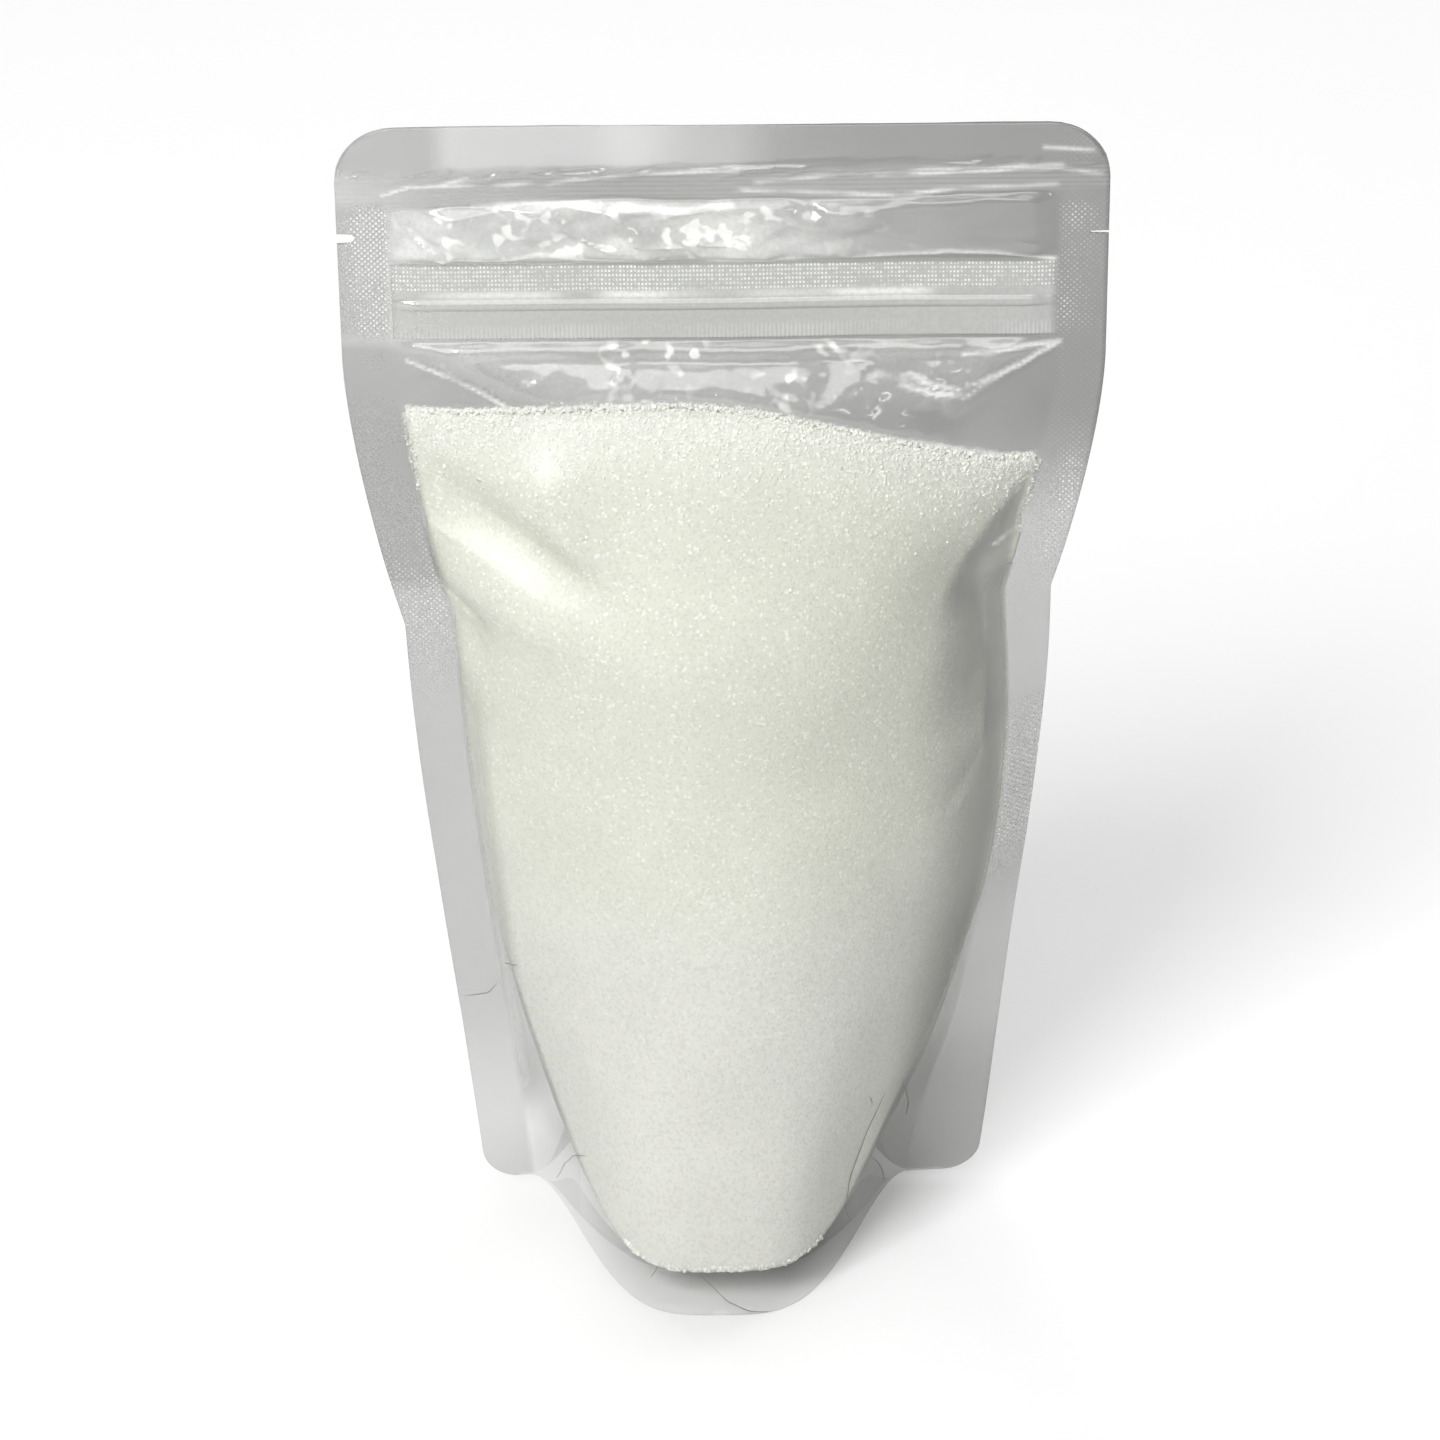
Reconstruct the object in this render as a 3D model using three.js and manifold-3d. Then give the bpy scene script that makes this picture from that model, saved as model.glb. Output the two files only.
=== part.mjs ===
// A clear stand-up zip pouch filled with granulated sweetener, standing on its bottom gusset.
// Millimetres, +Z up, front towards -Y, origin on the floor under the middle of the pouch.
import * as THREE from "three";
import { mergeVertices } from "three/addons/utils/BufferGeometryUtils.js";
import Module from "manifold-3d";

// The pouch laid flat
const FLAT_WIDTH = 130;
const SIDE_SEAL = 8;
const SEAL_THICKNESS = 0.8;
const TOP_CORNER_RADIUS = 10.5;
const FOOT_CORNER_RADIUS = 6;

// The filled pouch as it stands: its outline from the front
const HEIGHT = 222.3;
const SHOULDER_Z = 178;
const SHOULDER_POWER = 1.6;
const WAIST_LEFT = { z: 124, half: 56.1, bulge: 1 };
const WAIST_RIGHT = { z: 130, half: 56.6, bulge: 1.9 };
const FOOT_HALF = 45;
const FOOT_LIFT = 2;
const FOOT_LIFT_FADE = 25;

// Cross-sections: a bell with flat wings at the foot, a plain lens from LENS_Z upwards
const BELL_POWER = 1.8;
const LENS_POWER = 0.95;
const LENS_Z = 85;

// The right side seal is turned back between these heights, so less of it shows from the front
const SEAL_TURN_LOW = 25;
const SEAL_TURN_HIGH = 140;
const SEAL_TURN_LOSS = 2.6;
const SEAL_TURN_BACK = 4.5;
const FOOT_SEAL_EXTRA_RIGHT = 4.5;
const FOOT_SEAL_FADE = 45;

// Zip closure, top heat seal and tear notches
const ZIP_LOW = 181.5;
const ZIP_HIGH = 196.2;
const ZIP_TRACK_Z = 188.4;
const ZIP_TRACK_HALF = 1.3;
const ZIP_TAPE_RISE = 0.5;
const ZIP_TRACK_RISE = 1.3;
const ZIP_END_FADE = 10;
const HEAT_SEAL_LOW = 208;
const PUFF_RISE = 0.9;
const NOTCH_Z = 201.3;
const NOTCH_DEPTH = 3;
const NOTCH_HEIGHT_LEFT = 1.9;
const NOTCH_HEIGHT_RIGHT = 0.6;

// Underside: the gusset is sealed inside a skirt and sags to a flat pad on the floor
const GROOVE_DEPTH = 9;
const GROOVE_FULL_Y = 14;
const SKIRT_SHARE = 0.965;
const GROOVE_SHARE = 0.93;
const SAG_SHARE = 0.8;
const SAG_DEPTH = 4;
const PAD_SHARE = 0.6;

// Folds that the pull of the film presses into the filling, each between two places in X and Z
const FRONT_FOLDS = [
  { from: [-54, 156], to: [-27, 146], width: 4.5, depth: 3 },
  { from: [-52, 137], to: [-41, 123], width: 4.5, depth: 3 },
  { from: [54, 144], to: [39, 136], width: 4.5, depth: 3.4 },
  { from: [41, 132], to: [45, 104], width: 5, depth: 2.6 },
];
const BACK_FOLDS = [
  { from: [-50, 146], to: [-34, 124], width: 5.5, depth: 2.8 },
  { from: [51, 152], to: [30, 134], width: 5, depth: 2.6 },
];

// Mesh steps
const POCKET_STEPS = 24;
const WING_STEPS = 2;
const WING_LEAST = 1.5;
const BODY_STEP = 5.2;
const CORNER_STEPS = 5;
const LENGTH_STEPS = 80;
const SOLVE_STEPS = 40;

const clamp01 = (t) => Math.min(1, Math.max(0, t));
const smooth = (t) => {
  const c = clamp01(t);
  return c * c * (3 - 2 * c);
};
const lerp = THREE.MathUtils.lerp;

// Half-width of the outline at height z, on the left (side -1) or the right (side 1)
function outlineHalf(z, side) {
  const waist = side < 0 ? WAIST_LEFT : WAIST_RIGHT;
  if (z >= SHOULDER_Z) return FLAT_WIDTH / 2;
  if (z < waist.z) {
    const share = z / waist.z;
    return lerp(FOOT_HALF, waist.half, share) + waist.bulge * Math.sin(Math.PI * share ** 2);
  }
  const drop = FLAT_WIDTH / 2 - waist.half;
  return FLAT_WIDTH / 2 - drop * ((SHOULDER_Z - z) / (SHOULDER_Z - waist.z)) ** SHOULDER_POWER;
}

// How far a rounded corner takes the edge in, at a distance from the pouch's end
function cornerTrim(distance, radius) {
  if (distance >= radius) return 0;
  return radius - Math.sqrt(radius ** 2 - (radius - distance) ** 2);
}

function edgeX(z, side) {
  const trim = Math.max(
    cornerTrim(HEIGHT - z, TOP_CORNER_RADIUS),
    cornerTrim(z - FOOT_LIFT, FOOT_CORNER_RADIUS),
  );
  return side * (outlineHalf(z, side) - trim);
}

function sealTurn(z) {
  const share = clamp01((z - SEAL_TURN_LOW) / (SEAL_TURN_HIGH - SEAL_TURN_LOW));
  return Math.sin(Math.PI * share) ** 2;
}

// The inner edge of a side seal, where the two films part
function pocketX(z, side) {
  const foot = 1 - smooth(z / FOOT_SEAL_FADE);
  const change = FOOT_SEAL_EXTRA_RIGHT * foot - SEAL_TURN_LOSS * sealTurn(z);
  return side * (outlineHalf(z, side) - SIDE_SEAL) - (side > 0 ? change : 0);
}

// Shape of a cross-section: 1 in the middle of the pocket, 0 at its ends
function sectionShape(t, z) {
  const s = Math.min(1, Math.abs(t));
  const bell = Math.cos((Math.PI / 2) * s ** BELL_POWER) ** 2;
  const lens = (1 - s * s) ** LENS_POWER;
  return lerp(bell, lens, smooth(z / LENS_Z));
}

// Length of one film across the pocket when it stands out by depth
function filmLength(depth, half, z) {
  let length = 0;
  let before = sectionShape(-1, z);
  for (let i = 1; i <= LENGTH_STEPS; i++) {
    const now = sectionShape(-1 + (2 * i) / LENGTH_STEPS, z);
    length += Math.hypot((2 * half) / LENGTH_STEPS, depth * (now - before));
    before = now;
  }
  return length;
}

// The film doesn't stretch, so a pocket drawn in at its sides stands out until its film is used up
function pocketDepth(z) {
  if (z >= SHOULDER_Z) return 0;
  const half = (pocketX(z, 1) - pocketX(z, -1)) / 2;
  const film = FLAT_WIDTH - 2 * SIDE_SEAL;
  let low = 0;
  let high = FLAT_WIDTH / 2;
  for (let i = 0; i < SOLVE_STEPS; i++) {
    const middle = (low + high) / 2;
    if (filmLength(middle, half, z) < film) low = middle;
    else high = middle;
  }
  return low;
}

// Relief of the zip tapes, the zip track and the slack film between the zip and the heat seal
function topRelief(t, z) {
  const inside = clamp01((1 - Math.abs(t)) * ZIP_END_FADE);
  const onTrack = Math.abs(z - ZIP_TRACK_Z) <= ZIP_TRACK_HALF;
  if (z >= ZIP_LOW && z <= ZIP_HIGH) return inside * (onTrack ? ZIP_TRACK_RISE : ZIP_TAPE_RISE);
  if (z > ZIP_HIGH && z < HEAT_SEAL_LOW) {
    return PUFF_RISE * Math.sin((Math.PI * (z - ZIP_HIGH)) / (HEAT_SEAL_LOW - ZIP_HIGH)) * inside;
  }
  return 0;
}

// Depth that the folds take off the film at a place on the front or back
function foldDepth(folds, x, z) {
  let total = 0;
  for (const { from, to, width, depth } of folds) {
    const along = [to[0] - from[0], to[1] - from[1]];
    const share = ((x - from[0]) * along[0] + (z - from[1]) * along[1]) / Math.hypot(...along) ** 2;
    const near = clamp01(share);
    const distance = Math.hypot(x - from[0] - near * along[0], z - from[1] - near * along[1]);
    total += depth * Math.exp(-((distance / width) ** 2));
  }
  return total;
}

// X of every point across one row, from the left edge to the right edge
function rowPlaces(z) {
  const left = Math.max(pocketX(z, -1), edgeX(z, -1) + WING_LEAST);
  const right = Math.min(pocketX(z, 1), edgeX(z, 1) - WING_LEAST);
  const places = [];
  for (let i = 0; i < WING_STEPS; i++) places.push(lerp(edgeX(z, -1), left, i / WING_STEPS));
  for (let i = 0; i <= POCKET_STEPS; i++) {
    places.push((left + right) / 2 - ((right - left) / 2) * Math.cos((Math.PI * i) / POCKET_STEPS));
  }
  for (let i = 1; i <= WING_STEPS; i++) places.push(lerp(right, edgeX(z, 1), i / WING_STEPS));
  return places;
}

// One closed row of points: the front from left to right, then the back from right to left
function rowLoop(z) {
  const left = pocketX(z, -1);
  const right = pocketX(z, 1);
  const depth = pocketDepth(z);
  const footFade = 1 - smooth((z - FOOT_LIFT) / FOOT_LIFT_FADE);
  const front = [];
  const back = [];
  for (const x of rowPlaces(z)) {
    const t = THREE.MathUtils.clamp((2 * x - left - right) / (right - left), -1, 1);
    const shape = sectionShape(t, z);
    const outside = Math.max(0, x - right) / (SIDE_SEAL - SEAL_TURN_LOSS);
    const turned = SEAL_TURN_BACK * sealTurn(z) * outside;
    const pointZ = z - FOOT_LIFT * shape * footFade;
    const reach = depth * shape + topRelief(t, z);
    const frontReach = reach - Math.min(reach, foldDepth(FRONT_FOLDS, x, z) * shape);
    const backReach = reach - Math.min(reach, foldDepth(BACK_FOLDS, x, z) * shape);
    front.push(new THREE.Vector3(x, turned - SEAL_THICKNESS / 2 - frontReach, pointZ));
    back.unshift(new THREE.Vector3(x, turned + SEAL_THICKNESS / 2 + backReach, pointZ));
  }
  return front.concat(back);
}

// Heights of the rows, close together round the corners and at the steps of the zip
function rowHeights() {
  const heights = [];
  const step = 0.25;
  for (let i = 0; i < CORNER_STEPS; i++) {
    heights.push(FOOT_LIFT + FOOT_CORNER_RADIUS * (1 - Math.cos((Math.PI * i) / (2 * CORNER_STEPS))));
  }
  const bodyLow = FOOT_LIFT + FOOT_CORNER_RADIUS;
  const bodyRows = Math.round((SHOULDER_Z - bodyLow) / BODY_STEP);
  for (let i = 0; i <= bodyRows; i++) heights.push(lerp(bodyLow, SHOULDER_Z, i / bodyRows));
  heights.push(ZIP_LOW - step, ZIP_LOW);
  for (const side of [-1, 1]) {
    const edge = ZIP_TRACK_Z + side * ZIP_TRACK_HALF;
    heights.push(edge - step, edge + step);
  }
  heights.push(ZIP_HIGH, ZIP_HIGH + step, (ZIP_HIGH + HEAT_SEAL_LOW) / 2, HEAT_SEAL_LOW);
  for (let i = CORNER_STEPS; i >= 0; i--) {
    heights.push(HEIGHT - TOP_CORNER_RADIUS * (1 - Math.cos((Math.PI * i) / (2 * CORNER_STEPS))));
  }
  return heights;
}

// One line across the underside, from the front edge to the back edge: under the skirt,
// up into the groove behind it, and down to the flat pad in the middle
function undersideLine(front, back) {
  const room = smooth((Math.abs(front.y) - SEAL_THICKNESS) / GROOVE_FULL_Y);
  const padZ = front.z * (1 - room);
  const half = [
    [SKIRT_SHARE, front.z],
    [GROOVE_SHARE, front.z + GROOVE_DEPTH * room],
    [SAG_SHARE, padZ + SAG_DEPTH * room],
    [PAD_SHARE, padZ],
  ];
  const ahead = half.map(([share, z]) => new THREE.Vector3(front.x, front.y * share, z));
  const behind = half.map(([share, z]) => new THREE.Vector3(back.x, back.y * share, z));
  return [front, ...ahead, ...behind.reverse(), back];
}

// Faces between two neighbouring lines of the underside, one of which may have only its two ends
function bridge(left, right, triangle) {
  const steps = Math.max(left.length, right.length) - 1;
  const at = (line, k) => (line.length > steps ? line[k] : line[2 * k < steps ? 0 : 1]);
  for (let k = 0; k < steps; k++) {
    const corners = [at(left, k), at(left, k + 1), at(right, k + 1), at(right, k)];
    if (corners[0] !== corners[1]) triangle(corners[0], corners[1], corners[2]);
    if (corners[2] !== corners[3]) triangle(corners[0], corners[2], corners[3]);
  }
}

// Closed surface over the rows, the top edge and the underside
function pouchGeometry() {
  const rows = rowHeights().map(rowLoop);
  const around = rows[0].length;
  const positions = [];
  const triangle = (...corners) => corners.forEach((p) => positions.push(p.x, p.y, p.z));
  for (let k = 0; k + 1 < rows.length; k++) {
    for (let j = 0; j < around; j++) {
      const next = (j + 1) % around;
      triangle(rows[k][j], rows[k][next], rows[k + 1][next]);
      triangle(rows[k][j], rows[k + 1][next], rows[k + 1][j]);
    }
  }
  const top = rows.at(-1);
  for (let i = 0; i + 1 < around / 2; i++) {
    const back = around - 1 - i;
    triangle(top[i], top[i + 1], top[back - 1]);
    triangle(top[i], top[back - 1], top[back]);
  }
  const lines = [];
  for (let i = 0; i < around / 2; i++) {
    const front = rows[0][i];
    const back = rows[0][around - 1 - i];
    lines.push(back.y - front.y > 2 * SEAL_THICKNESS ? undersideLine(front, back) : [front, back]);
  }
  for (let i = 0; i + 1 < lines.length; i++) bridge(lines[i], lines[i + 1], triangle);
  return new THREE.BufferGeometry().setAttribute("position", new THREE.Float32BufferAttribute(positions, 3));
}

// A slot with a round inner end, cut in from the left (side -1) or the right (side 1) edge
function notchGeometry(side, height) {
  const radius = height / 2;
  const outer = 2;
  const slot = new THREE.Shape();
  slot.moveTo(outer, -radius);
  slot.lineTo(outer, radius);
  slot.lineTo(radius - NOTCH_DEPTH, radius);
  slot.absarc(radius - NOTCH_DEPTH, 0, radius, Math.PI / 2, (3 * Math.PI) / 2);
  const through = 6;
  const geometry = new THREE.ExtrudeGeometry(slot, { depth: through, bevelEnabled: false, curveSegments: 8 });
  geometry.translate(0, 0, -through / 2);
  geometry.rotateX(Math.PI / 2);
  if (side < 0) geometry.rotateZ(Math.PI);
  return geometry.translate((side * FLAT_WIDTH) / 2, 0, NOTCH_Z);
}

const wasm = await Module();
wasm.setup();

function solidOf(geometry) {
  const bare = new THREE.BufferGeometry().setAttribute("position", geometry.getAttribute("position"));
  if (geometry.index) bare.setIndex(geometry.index);
  const merged = mergeVertices(bare, 1e-3);
  return new wasm.Manifold(
    new wasm.Mesh({
      numProp: 3,
      vertProperties: merged.attributes.position.array,
      triVerts: new Uint32Array(merged.index.array),
    }),
  );
}

function geometryOf(solid) {
  const mesh = solid.getMesh();
  const geometry = new THREE.BufferGeometry();
  geometry.setAttribute("position", new THREE.BufferAttribute(mesh.vertProperties, 3));
  geometry.setIndex(new THREE.BufferAttribute(mesh.triVerts, 1));
  geometry.computeVertexNormals();
  return geometry;
}

const notched = solidOf(pouchGeometry())
  .subtract(solidOf(notchGeometry(-1, NOTCH_HEIGHT_LEFT)))
  .subtract(solidOf(notchGeometry(1, NOTCH_HEIGHT_RIGHT)));

const filledFilm = new THREE.MeshStandardMaterial({ color: 0xe2e3dc, roughness: 0.35, metalness: 0 });
const pouch = new THREE.Mesh(geometryOf(notched), filledFilm);
pouch.name = "pouch";

const object = new THREE.Group();
object.add(pouch);

export default object;
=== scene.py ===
"""A clear stand-up zip pouch of granulated sweetener: film, zip, filling, loose crystals and fine lines."""
import math
from collections import namedtuple
from types import SimpleNamespace

import bpy
import numpy as np
from bpy.props import FloatProperty, FloatVectorProperty, IntProperty, PointerProperty
from mathutils import Matrix, Vector


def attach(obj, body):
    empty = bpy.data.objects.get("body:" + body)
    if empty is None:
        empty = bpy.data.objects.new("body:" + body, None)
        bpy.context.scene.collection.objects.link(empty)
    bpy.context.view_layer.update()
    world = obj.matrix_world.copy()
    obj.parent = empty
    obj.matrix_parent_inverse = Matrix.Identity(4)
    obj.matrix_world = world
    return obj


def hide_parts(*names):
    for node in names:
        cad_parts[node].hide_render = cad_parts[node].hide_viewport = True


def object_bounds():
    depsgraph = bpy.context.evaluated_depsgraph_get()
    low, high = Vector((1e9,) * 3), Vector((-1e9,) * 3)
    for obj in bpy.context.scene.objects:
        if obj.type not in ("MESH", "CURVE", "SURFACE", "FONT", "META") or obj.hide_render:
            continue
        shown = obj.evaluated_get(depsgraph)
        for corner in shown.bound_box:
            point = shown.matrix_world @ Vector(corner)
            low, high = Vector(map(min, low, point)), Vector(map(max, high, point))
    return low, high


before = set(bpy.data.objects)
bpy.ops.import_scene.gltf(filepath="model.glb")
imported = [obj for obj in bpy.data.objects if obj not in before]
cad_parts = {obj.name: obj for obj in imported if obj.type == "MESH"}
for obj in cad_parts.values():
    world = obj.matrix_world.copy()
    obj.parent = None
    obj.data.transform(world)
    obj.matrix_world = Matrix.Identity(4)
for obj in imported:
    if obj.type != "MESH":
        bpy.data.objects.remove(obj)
CAD_LOW, CAD_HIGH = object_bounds()

bl_info = {
    "name": "Zip pouch of sweetener",
    "version": (1, 0, 0),
    "blender": (4, 5, 0),
    "location": "3D View > Sidebar > Pouch",
    "description": "Builds a filled clear zip pouch over its packed frame",
    "category": "Object",
}

MM = 0.001
POUCH_NODE = "pouch"
BODY = "root"

# Form of the filled pouch, the same as in the part's source
SHOULDER_POWER = 1.6
BELL_POWER = 1.8
LENS_POWER = 0.95
DEPTH_LEVELS = 180
SOLVE_STEPS = 40
SECTION_STEPS = 161

# A fold runs from start to end in X and Z millimetres. It is pressed in along its line by its depth,
# or stands out where that is negative, and fades towards its end. Its two flanks have their own widths
Fold = namedtuple("Fold", "start end upper lower depth")
FOLD_FADE = 0.6
FOLD_POWER = 1.5
FOLD_LIMIT = 0.94
LEFT_TUCK = Fold((-57, 140.5), (-45, 127.5), 2.6, 4.5, 5.2)
FRONT_FOLDS = (
    LEFT_TUCK,
    Fold((-45, 127.5), (-43.4, 121), 2.8, 4.5, 3.6),
    Fold((-57, 155.5), (-24, 141), 4.4, 6.0, 8.0),
    Fold((-54, 137), (-33, 132), 9.0, 5.0, -5.4),
    Fold((-31, 157), (-24.5, 143), 7.0, 5.5, -3.3),
    Fold((59, 150), (44, 136.5), 7.5, 2.4, 5.0),
    Fold((43.5, 136), (47.5, 98), 4.0, 9.0, 6.0),
    Fold((43, 62), (47.5, 98), 5.0, 8.0, 2.2),
    Fold((40.2, 92.5), (47, 101.2), 4.0, 1.6, 1.4),
)
BACK_FOLDS = (
    Fold((-50, 146), (-34, 124), 5.0, 5.0, 2.8),
    Fold((51, 152), (30, 134), 4.6, 4.6, 2.6),
)

# Creases from the ends of the zip down to the filling: outside them the films lie flat on each other
Crease = namedtuple("Crease", "start end")
CREASES = (
    Crease((-57, 179.0), (-33, 168.5)),
    Crease((58, 180.5), (39, 169.5)),
)
CREASE_SLOPE = 9.0
CREASE_WIDTH = 1.2
CREASE_RISE = 0.6

# Loose pleat of film over the right side of the filling, painted with grey haze as the shade of the pocket
# there: height and X of its soft left edge, X of its right end, and the height of its corner
PLEAT_LEFT = ((90, 31.0), (108, 30.0), (118, 31.0), (127, 34.0), (134, 36.5), (146, 44.0), (157, 52.5))
PLEAT_RIGHT = 45.2
PLEAT_CORNER = 134.0

# Wrinkles of the front film, raised a little and painted with highlights along them, each a run of X and Z
# millimetres
WRINKLE_HALF = 0.45
WRINKLE_HIGHLIGHT_HALF = 0.42
BRIGHT_LINES = (
    ((-57, 209.7), (-52.6, 211.2), (-47, 211.4), (-36, 211.5)),
    ((-47, 211.6), (-42.5, 213.1)),
    ((-42.6, 211.4), (-38.7, 213.0)),
    ((-29.4, 211.3), (-24.8, 212.9)),
    ((-36, 211.5), (-23, 212.7), (-14, 213.6), (3, 214.3)),
    ((6, 211.6), (20, 213.1), (34, 214.0), (45, 214.3), (57, 214.8)),
    ((26, 212.8), (40, 213.3), (56, 214.0), (63, 212.7)),
    ((3, 210.1), (30, 209.0), (40, 210.1), (56, 210.7)),
    ((-42, 207.7), (-32, 208.2), (-16, 208.0), (-6, 207.1), (1, 207.8)),
    ((-48, 198.2), (-38, 197.2), (-31, 198.0), (-24, 197.2), (3, 196.8)),
    ((3, 196.8), (12, 197.0), (22, 197.4), (33, 198.2), (38, 198.8), (47, 198.0), (56, 196.4)),
    ((54, 218.0), (62, 217.4)),
    ((-54, 177.7), (-43, 173.4), (-36, 169.6)),
    ((41, 171.0), (47, 174.6), (57, 179.8)),
    ((42, 172.9), (50, 175.9), (57, 180.2)),
    ((26, 175.6), (33, 174.8), (40, 172.6)),
    ((30, 174.0), (39.5, 171.6)),
    ((41, 178.6), (57, 180.2)),
    ((51, 143.2), (46.5, 140.0)),
)

# Fine dark lines on the front film, each a run of X and Z millimetres
HAIR_RADIUS = 0.08
HAIR_STEPS = 26
HAIR_SIDES = 6
HAIR_LINES = (
    ((-5.7, 10.2), (-1.1, 4.9), (3.0, 2.8), (6.2, 2.3)),
    ((27.9, 33.4), (24.2, 27.6), (21.2, 19.4), (20.4, 12.2), (22.3, 6.0)),
    ((31.1, 32.1), (32.2, 21.3), (32.1, 17.3)),
    ((25.6, 18.1), (27.3, 9.0), (28.1, 4.0)),
    ((25.0, 36.6), (25.2, 33.7)),
    ((-48.1, 43.1), (-44.1, 43.7), (-42.2, 45.7)),
    ((-40.6, 51.6), (-38.3, 53.7)),
    ((-32.1, 5.9), (-30.6, 13.4), (-28.5, 18.7), (-26.5, 22.0)),
    ((-14.6, 8.3), (-13.6, 11.0)),
    ((-42.6, 156.3), (-42.3, 156.2), (-42.0, 156.1)),
)

# Layers of smooth noise: height, size of the cells along X and Z in millimetres, seed, and lean of X with Z
Wave = namedtuple("Wave", "height cell_x cell_z seed lean", defaults=(0.0,))
FRONT_SEED = 40
BACK_SEED = 60
SURFACE_WAVES = (Wave(0.4, 31.0, 37.0, 0), Wave(0.16, 11.0, 13.0, 1))
SLACK_WAVES = (Wave(1.0, 8.5, 5.5, 2, 0.5), Wave(0.55, 4.2, 3.2, 3, -0.8))
SLACK_RIDGES = Wave(1.0, 9.0, 6.0, 4, 0.9)
PUFF_WAVE = Wave(0.5, 9.0, 9.0, 5)
TENSION_WAVES = (Wave(1.0, 6.0, 5.5, 6), Wave(0.6, 2.6, 2.2, 7, 0.4))
TENSION_RIDGES = Wave(1.0, 6.5, 4.0, 8, -0.7)
SEAL_LOW_WAVE = Wave(0.5, 23.0, 9.0, 5)
SEAL_HIGH_WAVE = Wave(0.5, 17.0, 9.0, 6)
SEAL_RIDGES = Wave(1.0, 5.2, 3.0, 31, -2.6)
LIP_WAVES = (Wave(0.45, 26.0, 12.0, 32), Wave(0.2, 9.0, 7.0, 33))
WELD_WAVE = Wave(0.16, 30.0, 19.0, 77)
FOOT_WAVES = (Wave(0.14, 4.0, 3.0, 81), Wave(0.1, 1.1, 3.0, 82))
EDGE_WAVE = Wave(0.01, 4.7, 3.0, 83)
KNURL_WAVE = Wave(1.1, 4.0, 9.0, 91)
DOT_WAVE = Wave(0.6, 6.0, 2.4, 92)
TICK_WAVE = Wave(0.8, 13.0, 9.0, 93)
HEAP_WAVES = (Wave(0.4, 13.0, 6.0, 101), Wave(0.3, 4.0, 4.0, 102), Wave(0.2, 1.6, 1.6, 103))
HAIR_WAVE = Wave(0.25, 3.0, 3.0, 121)
CLOUD_WAVE = Wave(0.3, 24.0, 70.0, 141, 0.2)
BLOTCH_WAVES = (Wave(0.9, 7.0, 5.0, 143, 0.4), Wave(0.5, 2.6, 2.2, 144))
PALE_BELOW_DOTS_WAVE = Wave(0.9, 8.0, 9.0, 145)
GLINT_WAVE = Wave(1.1, 9.0, 6.0, 146)
BREAK_WAVE = Wave(0.7, 5.0, 4.0, 151)

# Soft patches of painted shade and painted light on the bare film, drawn as more haze where the amount is
# positive and less where it is negative: an amount, and where the patch fades in along X and along Z, each
# with its start and run in millimetres. A negative run fades in below its start
Patch = namedtuple("Patch", "amount along_x along_z")
RIGHT_FOOT = Patch(0.32, ((12.0, 20.0),), ((42.0, -20.0),))
LOWER_RIGHT = Patch(-0.12, ((-65.0, 130.0),), ((75.0, -20.0),))
LEFT_SEAL = Patch(0.25, ((-56.5, -1.0),), ((180.0, 4.0), (209.0, -3.0)))
LEFT_FOOT = Patch(-0.26, ((30.0, -60.0),), ((55.0, -45.0),))
LEFT_FLAT = Patch(0.35, ((0.0, -20.0),), ((182.0, -3.0),))
LEFT_STRIP = Patch(0.22, ((-26.0, -10.0),), ((36.0, -10.0), (12.0, 8.0)))


def length(name, description, millimetres):
    """A length property whose default is given in millimetres."""
    return FloatProperty(
        name=name,
        description=description,
        default=millimetres * MM,
        precision=5,
        subtype="DISTANCE",
        unit="LENGTH",
    )


def lengths(name, description, *millimetres):
    """A property of several lengths, in order from the left to the right."""
    return FloatVectorProperty(
        name=name,
        description=description,
        default=[value * MM for value in millimetres],
        size=len(millimetres),
        precision=5,
        unit="LENGTH",
    )


def count(name, description, default):
    """A property that counts things."""
    return IntProperty(name=name, description=description, default=default, min=0)


def share(name, description, default):
    """A property from 0 to 1."""
    return FloatProperty(
        name=name, description=description, default=default, min=0.0, max=1.0, subtype="FACTOR"
    )


def colour(name, description, default):
    """A linear colour property."""
    return FloatVectorProperty(
        name=name, description=description, default=default, size=3, min=0.0, max=1.0, subtype="COLOR"
    )


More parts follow.
